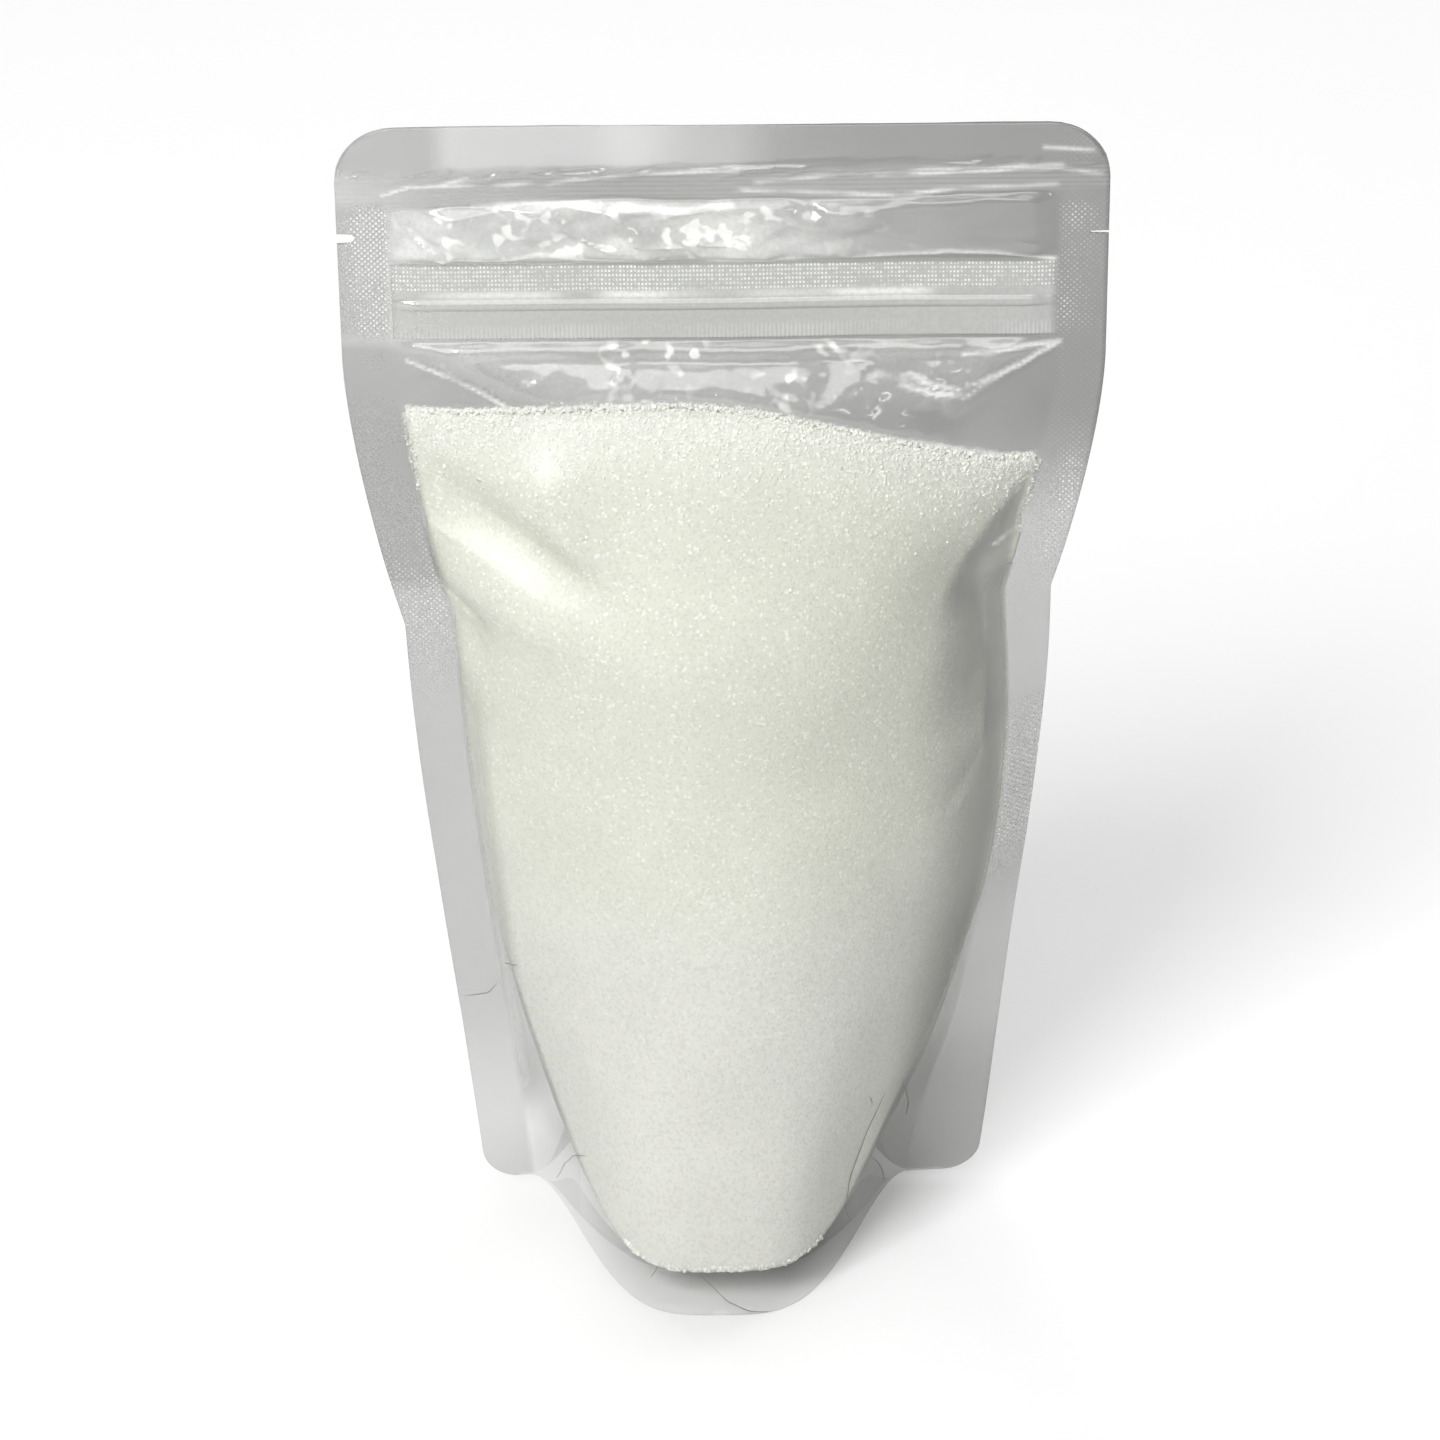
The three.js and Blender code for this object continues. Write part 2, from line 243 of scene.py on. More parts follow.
class PouchSizes(bpy.types.PropertyGroup):
    """Sizes of the film and its outline as the filled pouch stands."""

    film_width: length("Film width", "Width of the pouch laid flat", (CAD_HIGH.x - CAD_LOW.x) / MM)
    height: length("Height", "Height of the standing pouch", CAD_HIGH.z / MM)
    side_seal: length("Side seal", "Width of the welded side seals", 8.0)
    seal_gap: length("Seal gap", "Distance between the two films where they are welded", 0.5)
    top_corner: length("Top corner", "Radius of the top corners", 10.5)
    foot_corner: length("Foot corner", "Radius of the foot corners", 6.0)
    shoulder: length("Shoulder", "Height below which the filling draws the sides in", 178.0)
    waist: lengths("Waist", "Height of the waist on the left and on the right", 124.0, 130.0)
    waist_half: lengths("Waist half-width", "Half-width at the left and the right waist", 56.1, 56.6)
    waist_bulge: lengths("Hip", "Swell of the outline below the left and the right waist", 1.0, 1.9)
    foot_half: length("Foot half-width", "Half-width at the foot", 45.0)
    foot_lift: length("Foot lift", "Height of the foot corners above the floor", 2.0)
    foot_lift_fade: length("Foot lift fade", "Height over which the foot lift dies out", 25.0)
    lens_height: length("Lens height", "Height where the sections become plain lenses", 85.0)
    turn_low: length("Seal turn low", "Lower end of the turned-back right seal", 25.0)
    turn_high: length("Seal turn high", "Upper end of the turned-back right seal", 140.0)
    turn_loss: length("Seal turn loss", "Width that the turn takes from the right seal", 2.6)
    turn_back: length("Seal turn back", "How far the turned seal stands back", 4.5)
    foot_seal_extra: length("Foot seal extra", "Extra width of the right seal at the foot", 4.5)
    foot_seal_fade: length("Foot seal fade", "Height over which that extra width dies out", 45.0)
    groove_depth: length("Groove depth", "Depth of the groove behind the foot skirt", 9.0)
    groove_full: length("Groove full", "Depth of pouch at which the groove is full", 14.0)


class ClosureSizes(bpy.types.PropertyGroup):
    """Sizes of the zip, the heat seal and the tear notches."""

    zip_low: length("Zip low", "Lower edge of the zip tape", 181.5)
    zip_high: length("Zip high", "Upper edge of the zip tape", 196.2)
    tape_rise: length("Tape rise", "How far the zip tape lifts the film", 0.35)
    track: length("Track height", "Height of the zip track", 188.4)
    track_half: length("Track half", "Half-height of the zip track", 1.0)
    track_rise: length("Track rise", "How far the track lifts the film over the tape", 0.8)
    dots_low: length("Dots low", "Lower edge of the dotted tape", 191.0)
    ticks_high: length("Ticks high", "Upper edge of the ribbed tape foot", 184.4)
    seal_low: lengths("Seal low", "Lower edge of the heat seal at the left and the right", 207.4, 210.4)
    seal_high: lengths("Seal high", "Upper edge of the heat seal at the left and the right", 212.6, 215.0)
    puff: length("Puff", "Swell of the slack film between zip and heat seal", 1.5)
    crinkle: length("Crinkle", "Height of the crinkles in the slack film", 1.3)
    notch_height: length("Notch height", "Height of the tear notches", 201.3)
    notch_depth: length("Notch depth", "Depth of the tear notches", 3.0)
    notch_width: lengths("Notch width", "Width of the left and the right tear notch", 1.9, 0.6)


class FillSizes(bpy.types.PropertyGroup):
    """Sizes of the filling and its crystals."""

    clearance: length("Clearance", "Gap between the filling and the film", 0.3)
    front: lengths("Front levels", "Levels of the filling at the front", 166.6, 169.6, 170.8, 164.4, 155.2)
    back: lengths("Back levels", "Levels of the filling at the back", 165.2, 159.5, 157.0, 152.0, 154.8)
    foot_middle: length("Foot middle", "Lowest line of the filling on the front film, in the middle", 10.5)
    foot_rise: length("Foot rise", "How much higher that line ends at the sides", 56.0)
    floor_level: length("Floor level", "Lowest point of the filling inside the gusset", 0.8)
    relief: length("Relief", "Height of the relief that the crystals make", 0.045)
    crystal_least: length("Least crystal", "Length of the smallest crystals", 0.28)
    crystal_most: length("Largest crystal", "Length of the largest crystals", 0.75)


class FillCounts(bpy.types.PropertyGroup):
    """How many loose crystals there are, and the seed of every random draw."""

    top: count("Top crystals", "Loose crystals on the top of the filling", 2400)
    crest: count("Crest crystals", "Loose crystals along the heap's crest", 2300)
    band: count("Band crystals", "Loose crystals below the crest", 5000)
    foot: count("Foot crystals", "Loose crystals along the foot", 260)
    side: count("Side crystals", "Loose crystals at each side of the heap", 60)
    stuck: count("Stuck crystals", "Crystals stuck to the film above", 60)
    seed: count("Seed", "Seed of the random draws", 11)


class PouchColours(bpy.types.PropertyGroup):
    """Colours and finishes."""

    film: colour("Film", "Grey of the clear film's haze", (0.27, 0.274, 0.262))
    # pale tint of embossed and crinkled film, also used for painted highlights: sparkle on the knurl,
    # glints, blotches and bright wrinkle lines
    emboss: colour("Embossing", "Pale grey of embossed or crinkled film", (0.86, 0.87, 0.84))
    zip: colour("Zip", "Pale plastic of the zip", (0.62, 0.62, 0.59))
    filling: colour("Filling", "Off-white of the upper filling", (0.682, 0.694, 0.602))
    filling_low: colour("Filling low", "Plain white of the lower filling", (0.688, 0.69, 0.64))
    # painted light: the top of the heap is painted whiter than the rest of the filling, as if lit from above
    crest: colour("Crest", "White of the top of the heap", (0.715, 0.725, 0.65))
    crystal: colour("Crystal", "White of bright crystals", (0.90, 0.91, 0.86))
    loose: colour("Loose crystal", "White of the loose crystals", (0.82, 0.83, 0.77))
    hair: colour("Hair", "Dark grey of the fine lines", (0.12, 0.11, 0.10))
    floor: colour("Floor", "Pale floor", (0.86, 0.86, 0.86))
    film_haze: share("Film haze", "How much of the bare film is haze", 0.52)
    contact_haze: share("Contact haze", "Haze where the film lies on the filling", 0.04)
    # painted shade: grey haze on the pleat, on the strip beside it, where the film parts from the sides and
    # on the tucked-in film stands in for the shade and shadow there
    pleat_haze_and_shade: share("Pleat haze", "Haze where the film is pleated over the filling", 0.73)
    strip_shadow: share("Strip haze", "Haze of the narrow strip beside that pleat", 0.84)
    rim_haze_and_shade: share("Rim haze", "Haze where the film parts from the sides of the filling", 0.58)
    tuck_shade: share("Tuck haze", "Haze of the film tucked in at the left", 0.2)


class PouchSettings(bpy.types.PropertyGroup):
    """All settings of the pouch."""

    sizes: PointerProperty(type=PouchSizes)
    closure: PointerProperty(type=ClosureSizes)
    fill: PointerProperty(type=FillSizes)
    counts: PointerProperty(type=FillCounts)
    colours: PointerProperty(type=PouchColours)


def in_millimetres(group):
    """The lengths of a property group by name, in millimetres."""
    names = type(group).__annotations__
    return SimpleNamespace(**{name: np.array(getattr(group, name), dtype=float) / MM for name in names})


def of_side(pair, side):
    """The left value of a pair where the side is -1, and the right value where it is 1."""
    return pair[0] if side < 0 else pair[1]


def ease(value):
    """Smooth step from 0 to 1."""
    held = np.clip(value, 0.0, 1.0)
    return held * held * (3.0 - 2.0 * held)


def rise(value, start, run):
    """Smooth step from 0 at its start to 1 a run further on. A negative run goes the other way."""
    return ease((value - start) / run)


def band(value, low, high, soft):
    """1 between two limits, with a soft step across each."""
    return rise(value, low - soft / 2.0, soft) * rise(value, high + soft / 2.0, -soft)


def hump(value, middle, width):
    """Bell curve that is 1 in its middle."""
    return np.exp(-(((value - middle) / width) ** 2))


def mix(first, second, amount):
    """Straight blend of two values."""
    return first + (second - first) * amount


def lattice(i, j, seed):
    """A repeatable number from -1 to 1 for each point of a lattice."""
    mixed = np.sin(i * 127.1 + j * 311.7 + seed * 74.7) * 43758.5453
    return 2.0 * (mixed - np.floor(mixed)) - 1.0


def waves(x, z, *layers, seed=0):
    """Sum of layers of smooth noise, each between minus its height and its height."""
    total = 0.0
    for layer in layers:
        u = (x + layer.lean * z) / layer.cell_x
        v = z / layer.cell_z
        i = np.floor(u)
        j = np.floor(v)
        corner_seed = layer.seed + seed
        low = mix(lattice(i, j, corner_seed), lattice(i + 1, j, corner_seed), ease(u - i))
        high = mix(lattice(i, j + 1, corner_seed), lattice(i + 1, j + 1, corner_seed), ease(u - i))
        total = total + layer.height * mix(low, high, ease(v - j))
    return total


def ridges(x, z, layer, seed=0):
    """Noise with sharp crests, from 0 to 1."""
    return 1.0 - np.abs(waves(x, z, layer, seed=seed))


def patchy(x, z, level, *layers):
    """Smooth patches from 0 to 1 about a level."""
    return ease(level + waves(x, z, *layers))


def patch_amount(patch, x, z):
    """Amount of a soft patch at each place."""
    total = patch.amount
    for value, fades in ((x, patch.along_x), (z, patch.along_z)):
        for start, run in fades:
            total = total * rise(value, start, run)
    return total


def along_fold(fold, x, z):
    """Distance of each place from a fold's line, its distance above that line, and its share of the run."""
    run_x = fold.end[0] - fold.start[0]
    run_z = fold.end[1] - fold.start[1]
    run = math.hypot(run_x, run_z)
    part = ((x - fold.start[0]) * run_x + (z - fold.start[1]) * run_z) / run**2
    near = np.clip(part, 0.0, 1.0)
    distance = np.hypot(x - fold.start[0] - near * run_x, z - fold.start[1] - near * run_z)
    above = (run_x * (z - fold.start[1]) - run_z * (x - fold.start[0])) / run
    return distance, above * math.copysign(1.0, run_x), near


def fold_depth(folds, x, z):
    """Depth that the folds press into the film."""
    total = np.zeros(np.broadcast(x, z).shape)
    for fold in folds:
        distance, above, near = along_fold(fold, x, z)
        upper = 0.5 + 0.5 * np.clip(above / np.maximum(distance, 1e-6), -1.0, 1.0)
        width = mix(fold.lower, fold.upper, upper)
        flank = np.exp(-((distance / width) ** FOLD_POWER))
        total = total + fold.depth * (1.0 - FOLD_FADE * near**2) * flank
    return total


def bright_lines(x, z, half_width):
    """1 on the bright wrinkles of the upper film, 0 away from them, and broken along their length."""
    total = np.zeros(np.broadcast(x, z).shape)
    for line in BRIGHT_LINES:
        for start, end in zip(line[:-1], line[1:]):
            distance, _, _ = along_fold(Crease(start, end), x, z)
            total = np.maximum(total, hump(distance, 0.0, half_width))
    return total * patchy(x, z, 0.75, BREAK_WAVE)


# Shares, powers, lengths in millimetres and steepness of steps, in the forms of the film and the filling
FILL_SHARE = 0.985
FOOT_POWER = 5.3
END_POWER = 30
LEAST_DEPTH = 0.05
LEVEL_STEPS = (-0.15, -0.05, 0.05, 0.15)
TAPE_EDGE = 0.25
SEAL_EDGE = 0.6
WRINKLE_RISE = 0.25
TINY = 1e-6
RELIEF_STEEP = 12.0
SEAL_STEEP = 30.0
RIM_STEEP = 22.0
STRIP_STEEP = 80.0


def corner_trim(distance, radius):
    """How far a rounded corner takes the edge in, at a distance from the end of the pouch."""
    left = np.clip(radius - distance, 0.0, radius)
    return radius - np.sqrt(radius**2 - left**2)


def outward(front):
    """Direction along Y out of the front or the back film."""
    return -1.0 if front else 1.0


class PouchShape:
    """Film and filling as functions of place, in millimetres. Side -1 is the left and side 1 the right."""

    def __init__(self, settings):
        self.size = in_millimetres(settings.sizes)
        self.top = in_millimetres(settings.closure)
        self.fill = in_millimetres(settings.fill)
        self.levels = np.linspace(0.0, self.size.shoulder, DEPTH_LEVELS)
        self.depths = self.solve_depths()

    def outline_half(self, z, side):
        """Half-width of the outline on one side."""
        size = self.size
        waist = of_side(size.waist, side)
        half = of_side(size.waist_half, side)
        up = np.clip(z / waist, 0.0, 1.0)
        below = mix(size.foot_half, half, up) + of_side(size.waist_bulge, side) * np.sin(np.pi * up**2)
        down = np.clip((size.shoulder - z) / (size.shoulder - waist), 0.0, None)
        above = size.film_width / 2.0 - (size.film_width / 2.0 - half) * down**SHOULDER_POWER
        return np.where(z < waist, below, above)

    def notch_trim(self, z, side):
        """How far a tear notch with a round inner end takes the edge in."""
        radius = of_side(self.top.notch_width, side) / 2.0
        away = np.abs(z - self.top.notch_height)
        reached = self.top.notch_depth - radius + np.sqrt(radius**2 - np.minimum(away, radius) ** 2)
        return np.where(away < radius, reached, 0.0)

    def edge(self, z, side):
        """X of the outer edge."""
        size = self.size
        corners = np.maximum(
            corner_trim(size.height - z, size.top_corner),
            corner_trim(z - size.foot_lift, size.foot_corner),
        )
        return side * (self.outline_half(z, side) - corners - self.notch_trim(z, side))

    def seal_turn(self, z):
        """How far the right side seal is turned back, from 0 to 1."""
        size = self.size
        part = np.clip((z - size.turn_low) / (size.turn_high - size.turn_low), 0.0, 1.0)
        return np.sin(np.pi * part) ** 2

    def pocket(self, z, side):
        """X of the inner edge of a side seal, where the films part."""
        size = self.size
        inner = self.outline_half(z, side) - size.side_seal
        if side > 0:
            extra = size.foot_seal_extra * (1.0 - ease(z / size.foot_seal_fade))
            inner = inner - extra + size.turn_loss * self.seal_turn(z)
        return side * inner

    def section(self, across, z):
        """Shape of a cross-section: 1 in the middle of the pocket, 0 at its ends."""
        off = np.minimum(np.abs(across), 1.0)
        bell = np.cos(np.pi / 2.0 * off**BELL_POWER) ** 2
        lens = (1.0 - off * off) ** LENS_POWER
        return mix(bell, lens, ease(z / self.size.lens_height))

    def solve_depths(self):
        """Depth of the pocket at each level: film doesn't stretch, so each section uses up its length."""
        level = self.levels[:, None]
        across = np.linspace(-1.0, 1.0, SECTION_STEPS)[None, :]
        half = (self.pocket(level, 1) - self.pocket(level, -1)) / 2.0
        climb = np.diff(self.section(across, level), axis=1)
        run = np.diff(across, axis=1) * half
        film = self.size.film_width - 2.0 * self.size.side_seal
        low = np.zeros_like(level)
        high = np.full_like(level, self.size.film_width / 2.0)
        for _ in range(SOLVE_STEPS):
            middle = (low + high) / 2.0
            short = np.hypot(run, middle * climb).sum(axis=1, keepdims=True) < film
            low = np.where(short, middle, low)
            high = np.where(short, high, middle)
        low[-1] = 0.0
        return low[:, 0]

    def depth(self, z):
        """Depth of the pocket from the middle plane to the front film."""
        return np.interp(z, self.levels, self.depths, right=0.0)

    def across(self, x, z):
        """Place across the pocket: -1 at its left end and 1 at its right end."""
        left = self.pocket(z, -1)
        right = self.pocket(z, 1)
        return np.clip((2.0 * x - left - right) / (right - left), -1.0, 1.0)

    def pocket_place(self, across, z):
        """X of a place across the pocket."""
        left = self.pocket(z, -1)
        right = self.pocket(z, 1)
        return (left + right) / 2.0 + across * (right - left) / 2.0

    def inside(self, x, z, steep):
        """1 in the pocket and 0 on the side seals, with a step that is soft or steep."""
        return ease((1.0 - np.abs(self.across(x, z))) * steep)

    def seal_line(self, x, ends, layer):
        """Height of an edge of the heat seal across the pouch, from its heights at the two ends."""
        return mix(*ends, x / self.size.film_width + 0.5) + waves(x, 0.0, layer)

    def seal_low(self, x):
        """Lower edge of the heat seal across the pouch."""
        return self.seal_line(x, self.top.seal_low, SEAL_LOW_WAVE)

    def seal_high(self, x):
        """Upper edge of the heat seal across the pouch."""
        return self.seal_line(x, self.top.seal_high, SEAL_HIGH_WAVE)

    def zip_relief(self, inside, z):
        """Height of the zip tapes and track under the film."""
        top = self.top
        tape = band(z, top.zip_low, top.zip_high, TAPE_EDGE)
        off = np.clip(np.abs(z - top.track) / top.track_half, 0.0, 1.0)
        return inside * (top.tape_rise * tape + top.track_rise * np.sqrt(1.0 - off**2))

    def slack_relief(self, x, z, inside, seed):
        """Puffed and crinkled film between the zip and the heat seal."""
        top = self.top
        between = rise(z, top.zip_high, 2.5) * rise(z, self.seal_low(x), -1.6) * inside
        strong = mix(1.0, 0.25, rise(x, 22.0, 14.0))
        puff = top.puff * (1.0 + waves(x, 0.0, PUFF_WAVE, seed=seed))
        wave = waves(x, z, *SLACK_WAVES, seed=seed)
        crest = ridges(x, z, SLACK_RIDGES, seed) ** 3
        return between * (puff + top.crinkle * strong * (0.8 * wave + 0.9 * crest - 0.3))

    def facet(self, x, z):
        """1 on the bulging film below the zip, 0 on the flat film outside the creases at its two ends."""
        inner = np.ones(np.broadcast(x, z).shape)
        for crease in CREASES:
            side = math.copysign(1.0, crease.start[0])
            run = (crease.end[0] - crease.start[0]) / (crease.end[1] - crease.start[1])
            line = crease.start[0] + run * (np.maximum(z, crease.end[1]) - crease.start[1])
            inner = np.minimum(inner, np.clip(side * (line - x) / CREASE_SLOPE, 0.0, 1.0))
        return mix(1.0, inner, rise(z, 129.0, 5.0))

    def tension_relief(self, x, z, inside, seed):
        """Pulled film below the zip: flutes and dimples, raised between the two end creases."""
        crest = self.fill_level(self.across(x, z), True)
        below = rise(z, crest - 1.0, 5.0) * rise(z, self.top.zip_low, -2.2) * inside
        raised = self.facet(x, z)
        flute = waves(x, z, *TENSION_WAVES, seed=seed)
        sharp = ridges(x, z, TENSION_RIDGES, seed) ** 3
        line = sum(hump(along_fold(crease, x, z)[0], 0.0, CREASE_WIDTH) for crease in CREASES)
        return below * (1.6 * raised + raised * (0.3 * flute + 0.3 * sharp) + CREASE_RISE * line)

    def seal_relief(self, x, z):
        """Welded band across the top, with slanting wrinkles at its edges, and the wavy lip over it."""
        high = self.seal_high(x)
        welded = band(z, self.seal_low(x), high, SEAL_EDGE)
        slant = ridges(x, z, SEAL_RIDGES) ** 4
        swell = rise(z, high, 2.5) * waves(x, z, *LIP_WAVES)
        rim = mix(0.3, 0.1, rise(z, high, 5.0))
        return rim + swell + hump(z, high, 1.3) * (0.25 + 0.7 * slant) - 0.25 * welded

    def surface_relief(self, x, z, seed):
        """Soft waves of the film over the filling."""
        return waves(x, z, *SURFACE_WAVES, seed=seed) * rise(z, 4.0, 20.0)

    def reach(self, x, z, front):
        """How far the front or the back film stands out from the weld."""
        across = self.across(x, z)
        shape = self.section(across, z)
        full = self.depth(z) * shape
        seed = FRONT_SEED if front else BACK_SEED
        pressed = fold_depth(FRONT_FOLDS if front else BACK_FOLDS, x, z)
        limit = FOLD_LIMIT * full + TINY
        held = limit * (1.0 - np.exp(-np.maximum(pressed, 0.0) / limit))
        swollen = -np.minimum(pressed, 0.0) * np.sqrt(shape)
        bowed = full - held + swollen + self.surface_relief(x, z, seed) * shape
        inside = np.clip((1.0 - np.abs(across)) * RELIEF_STEEP, 0.0, 1.0)
        relief = self.zip_relief(inside, z) + self.slack_relief(x, z, inside, seed)
        relief = relief + self.tension_relief(x, z, inside, seed)
        relief = mix(relief, self.seal_relief(x, z), rise(z, self.seal_low(x) - 0.75, 1.5))
        if front:
            relief = relief + WRINKLE_RISE * bright_lines(x, z, WRINKLE_HALF) * rise(z, 165.0, 3.0)
        return np.maximum(bowed + relief, 0.0)

    def weld_plane(self, x, z):
        """Y of the middle plane: the right seal turns back, and the free seals wave a little."""
        size = self.size
        right = np.clip(x - self.pocket(z, 1), 0.0, None)
        left = np.clip(self.pocket(z, -1) - x, 0.0, None)
        turned = size.turn_back * self.seal_turn(z) * right / (size.side_seal - size.turn_loss)
        wave = np.maximum(right, left) * waves(np.sign(x) * 40.0, z, WELD_WAVE)
        return turned + wave * rise(z, 178.0, -20.0)

    def film_point(self, x, z, front):
        """A point of the film. Near the foot the middle of the film hangs lower than its corners."""
        size = self.size
        shape = self.section(self.across(x, z), z)
        foot = 1.0 - rise(z, size.foot_lift, size.foot_lift_fade)
        y = self.weld_plane(x, z) + outward(front) * (size.seal_gap / 2.0 + self.reach(x, z, front))
        return np.stack([x + 0.0 * z, y, z - size.foot_lift * shape * foot], axis=-1)

    def fill_level(self, across, front):
        """Level of the filling where it meets the front or the back film, from the left to the right."""
        levels = self.fill.front if front else self.fill.back
        places = np.linspace(-1.0, 1.0, len(levels))
        return sum(np.interp(across + step, places, levels) for step in LEVEL_STEPS) / len(LEVEL_STEPS)

    def fill_foot(self, across):
        """Lowest line of the filling on the film: the curved weld of the bottom gusset."""
        off = np.minimum(np.abs(across), 1.0)
        line = self.fill.foot_middle + self.fill.foot_rise * off**FOOT_POWER
        return line + waves(across * 50.0, 0.0, *FOOT_WAVES)

    def fill_edge(self, z, side):
        """Share of the pocket's half-width that the filling takes, with a ragged edge."""
        return FILL_SHARE + waves(z, side * 9.0, EDGE_WAVE) * rise(z, 112.0, 12.0)

    def fill_point(self, across, up, front):
        """A point of the filling's front or back face, just inside the film."""
        z = mix(self.fill_foot(across), self.fill_level(across, front), up)
        edge = mix(self.fill_edge(z, -1), self.fill_edge(z, 1), (across + 1.0) / 2.0)
        x = self.pocket_place(across * edge, z)
        film = self.film_point(x, z, front)
        plane = self.weld_plane(x, z)
        inner = np.abs(film[..., 1] - plane) - self.fill.clearance
        rounded = np.sqrt(1.0 - np.abs(across) ** END_POWER)
        y = plane + outward(front) * np.maximum(inner, LEAST_DEPTH) * rounded
        return np.stack([x, y, film[..., 2]], axis=-1)

    def contact(self, x, z, front):
        """How surely the filling shows through the film: 1 where it does, 0 where the film is bare."""
        across = self.across(x, z)
        half = (self.pocket(z, 1) - self.pocket(z, -1)) / 2.0
        sides = ease((0.972 - np.abs(across)) * half / 1.4 + 0.5)
        above = rise(z, self.fill_foot(across / FILL_SHARE) - 0.7, 2.2)
        under = rise(z, self.fill_level(across, front) + 2.2, -1.0)
        return sides * above * under

    def pleat(self, x, z):
        """1 on the loose pleat of film over the right side of the filling."""
        heights, places = zip(*PLEAT_LEFT)
        right = mix(PLEAT_RIGHT, self.size.film_width / 2.0, rise(z, PLEAT_CORNER, 3.0))
        soft = mix(15.0, 4.5, rise(z, 122.0, 12.0))
        across = rise(x, np.interp(z, heights, places), soft) * rise(x, right + 0.4, -0.8)
        return across * rise(z, heights[0], 34.0) * rise(z, heights[-1], -2.0)

    def strip(self, x, z):
        """1 on the narrow strip of filling between the pleat and the right seal."""
        beside = rise(x, PLEAT_RIGHT - 0.4, 0.8) * rise(z, PLEAT_CORNER + 3.0, -3.0)
        return beside * rise(z, PLEAT_LEFT[0][0], 16.0)

    def rim(self, x, z):
        """1 where the film parts from the filling at the left and at the right, in the lower half."""
        across = self.across(x, z)
        foot = rise(z, 12.0, 20.0)
        left = rise(across, -0.88, -0.1) * rise(z, 118.0, -12.0) * foot
        right = rise(across, 0.64, 0.34) * rise(z, 106.0, -12.0) * foot
        return left, right

    def tuck(self, x, z):
        """1 on the film tucked in below the left bulge."""
        distance, above, _ = along_fold(LEFT_TUCK, x, z)
        return rise(above, 0.0, -1.2) * hump(distance, 0.0, 5.5)


def numbered(rows, columns, start=0):
    """A grid of vertex numbers in order."""
    return start + np.arange(rows * columns).reshape(rows, columns)


def wrapped(ahead, behind):
    """A grid round two sheets of vertex numbers, joined along their left and right edges."""
    return np.concatenate([ahead, behind[:, ::-1], ahead[:, :1]], axis=1)


def triangles_of(patch):
    """Triangles over a grid of vertex numbers, on alternating diagonals, without those that have no area."""
    a = patch[:-1, :-1].ravel()
    b = patch[:-1, 1:].ravel()
    c = patch[1:, 1:].ravel()
    d = patch[1:, :-1].ravel()
    row, column = np.indices((patch.shape[0] - 1, patch.shape[1] - 1))
    even = ((row + column) % 2 == 0).ravel()
    first = np.stack([a, b, np.where(even, c, d)], axis=1)
    second = np.stack([np.where(even, a, b), c, d], axis=1)
    faces = np.concatenate([first, second])
    whole = (faces[:, 0] != faces[:, 1]) & (faces[:, 1] != faces[:, 2]) & (faces[:, 2] != faces[:, 0])
    return faces[whole]


def new_piece(name, points, faces, material, slot, smooth=True, masks=None):
    """A piece of the pouch from points in millimetres and triangles, riding on the body."""
    if len(points) == 0 or len(faces) == 0:
        raise RuntimeError(f"{name} has nothing to build from")
    mesh = bpy.data.meshes.new(name)
    mesh.vertices.add(len(points))
    mesh.vertices.foreach_set("co", (np.asarray(points) * MM).astype(np.float32).ravel())
    mesh.loops.add(3 * len(faces))
    mesh.loops.foreach_set("vertex_index", np.asarray(faces, dtype=np.int32).ravel())
    mesh.polygons.add(len(faces))
    mesh.polygons.foreach_set("loop_start", np.arange(0, 3 * len(faces), 3, dtype=np.int32))
    mesh.polygons.foreach_set("use_smooth", np.full(len(faces), smooth))
    mesh.update(calc_edges=True)
    for mask, values in (masks or {}).items():
        layer = mesh.attributes.new(mask, "FLOAT", "POINT")
        layer.data.foreach_set("value", np.asarray(values, dtype=np.float32).ravel())
    if mesh.validate():
        raise RuntimeError(f"{name} has faulty faces")
    mesh.materials.append(material)
    piece = bpy.data.objects.new(name, mesh)
    bpy.context.scene.collection.objects.link(piece)
    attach(piece, BODY)
    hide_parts(POUCH_NODE)
    return piece


def unit(vectors):
    """Vectors in rows, each brought to length 1."""
    return vectors / np.linalg.norm(vectors, axis=1, keepdims=True)


def tube(path, radius, sides):
    """Points and faces of a closed thin tube along a run of points, thinner towards its ends."""
    ahead = unit(np.gradient(path, axis=0))
    level = unit(np.cross(ahead, np.array([0.0, 1.0, 0.0])))
    other = np.cross(ahead, level)
    turn = np.linspace(0.0, 2.0 * np.pi, sides, endpoint=False)[None, :, None]
    fade = np.sin(np.pi * np.linspace(0.12, 0.88, len(path)))[:, None, None]
    ring = np.cos(turn) * level[:, None, :] + np.sin(turn) * other[:, None, :]
    points = (path[:, None, :] + radius * fade * ring).reshape(-1, 3)
    numbers = numbered(len(path), sides)
    first = np.full((1, sides + 1), len(points))
    patch = np.concatenate([first, np.concatenate([numbers, numbers[:, :1]], axis=1), first + 1])
    return np.concatenate([points, path[[0, -1]]]), triangles_of(patch)


def join(parts):
    """One set of points and faces from several."""
    points = []
    faces = []
    total = 0
    for part_points, part_faces in parts:
        points.append(part_points)
        faces.append(part_faces + total)
        total += len(part_points)
    return np.concatenate(points), np.concatenate(faces)


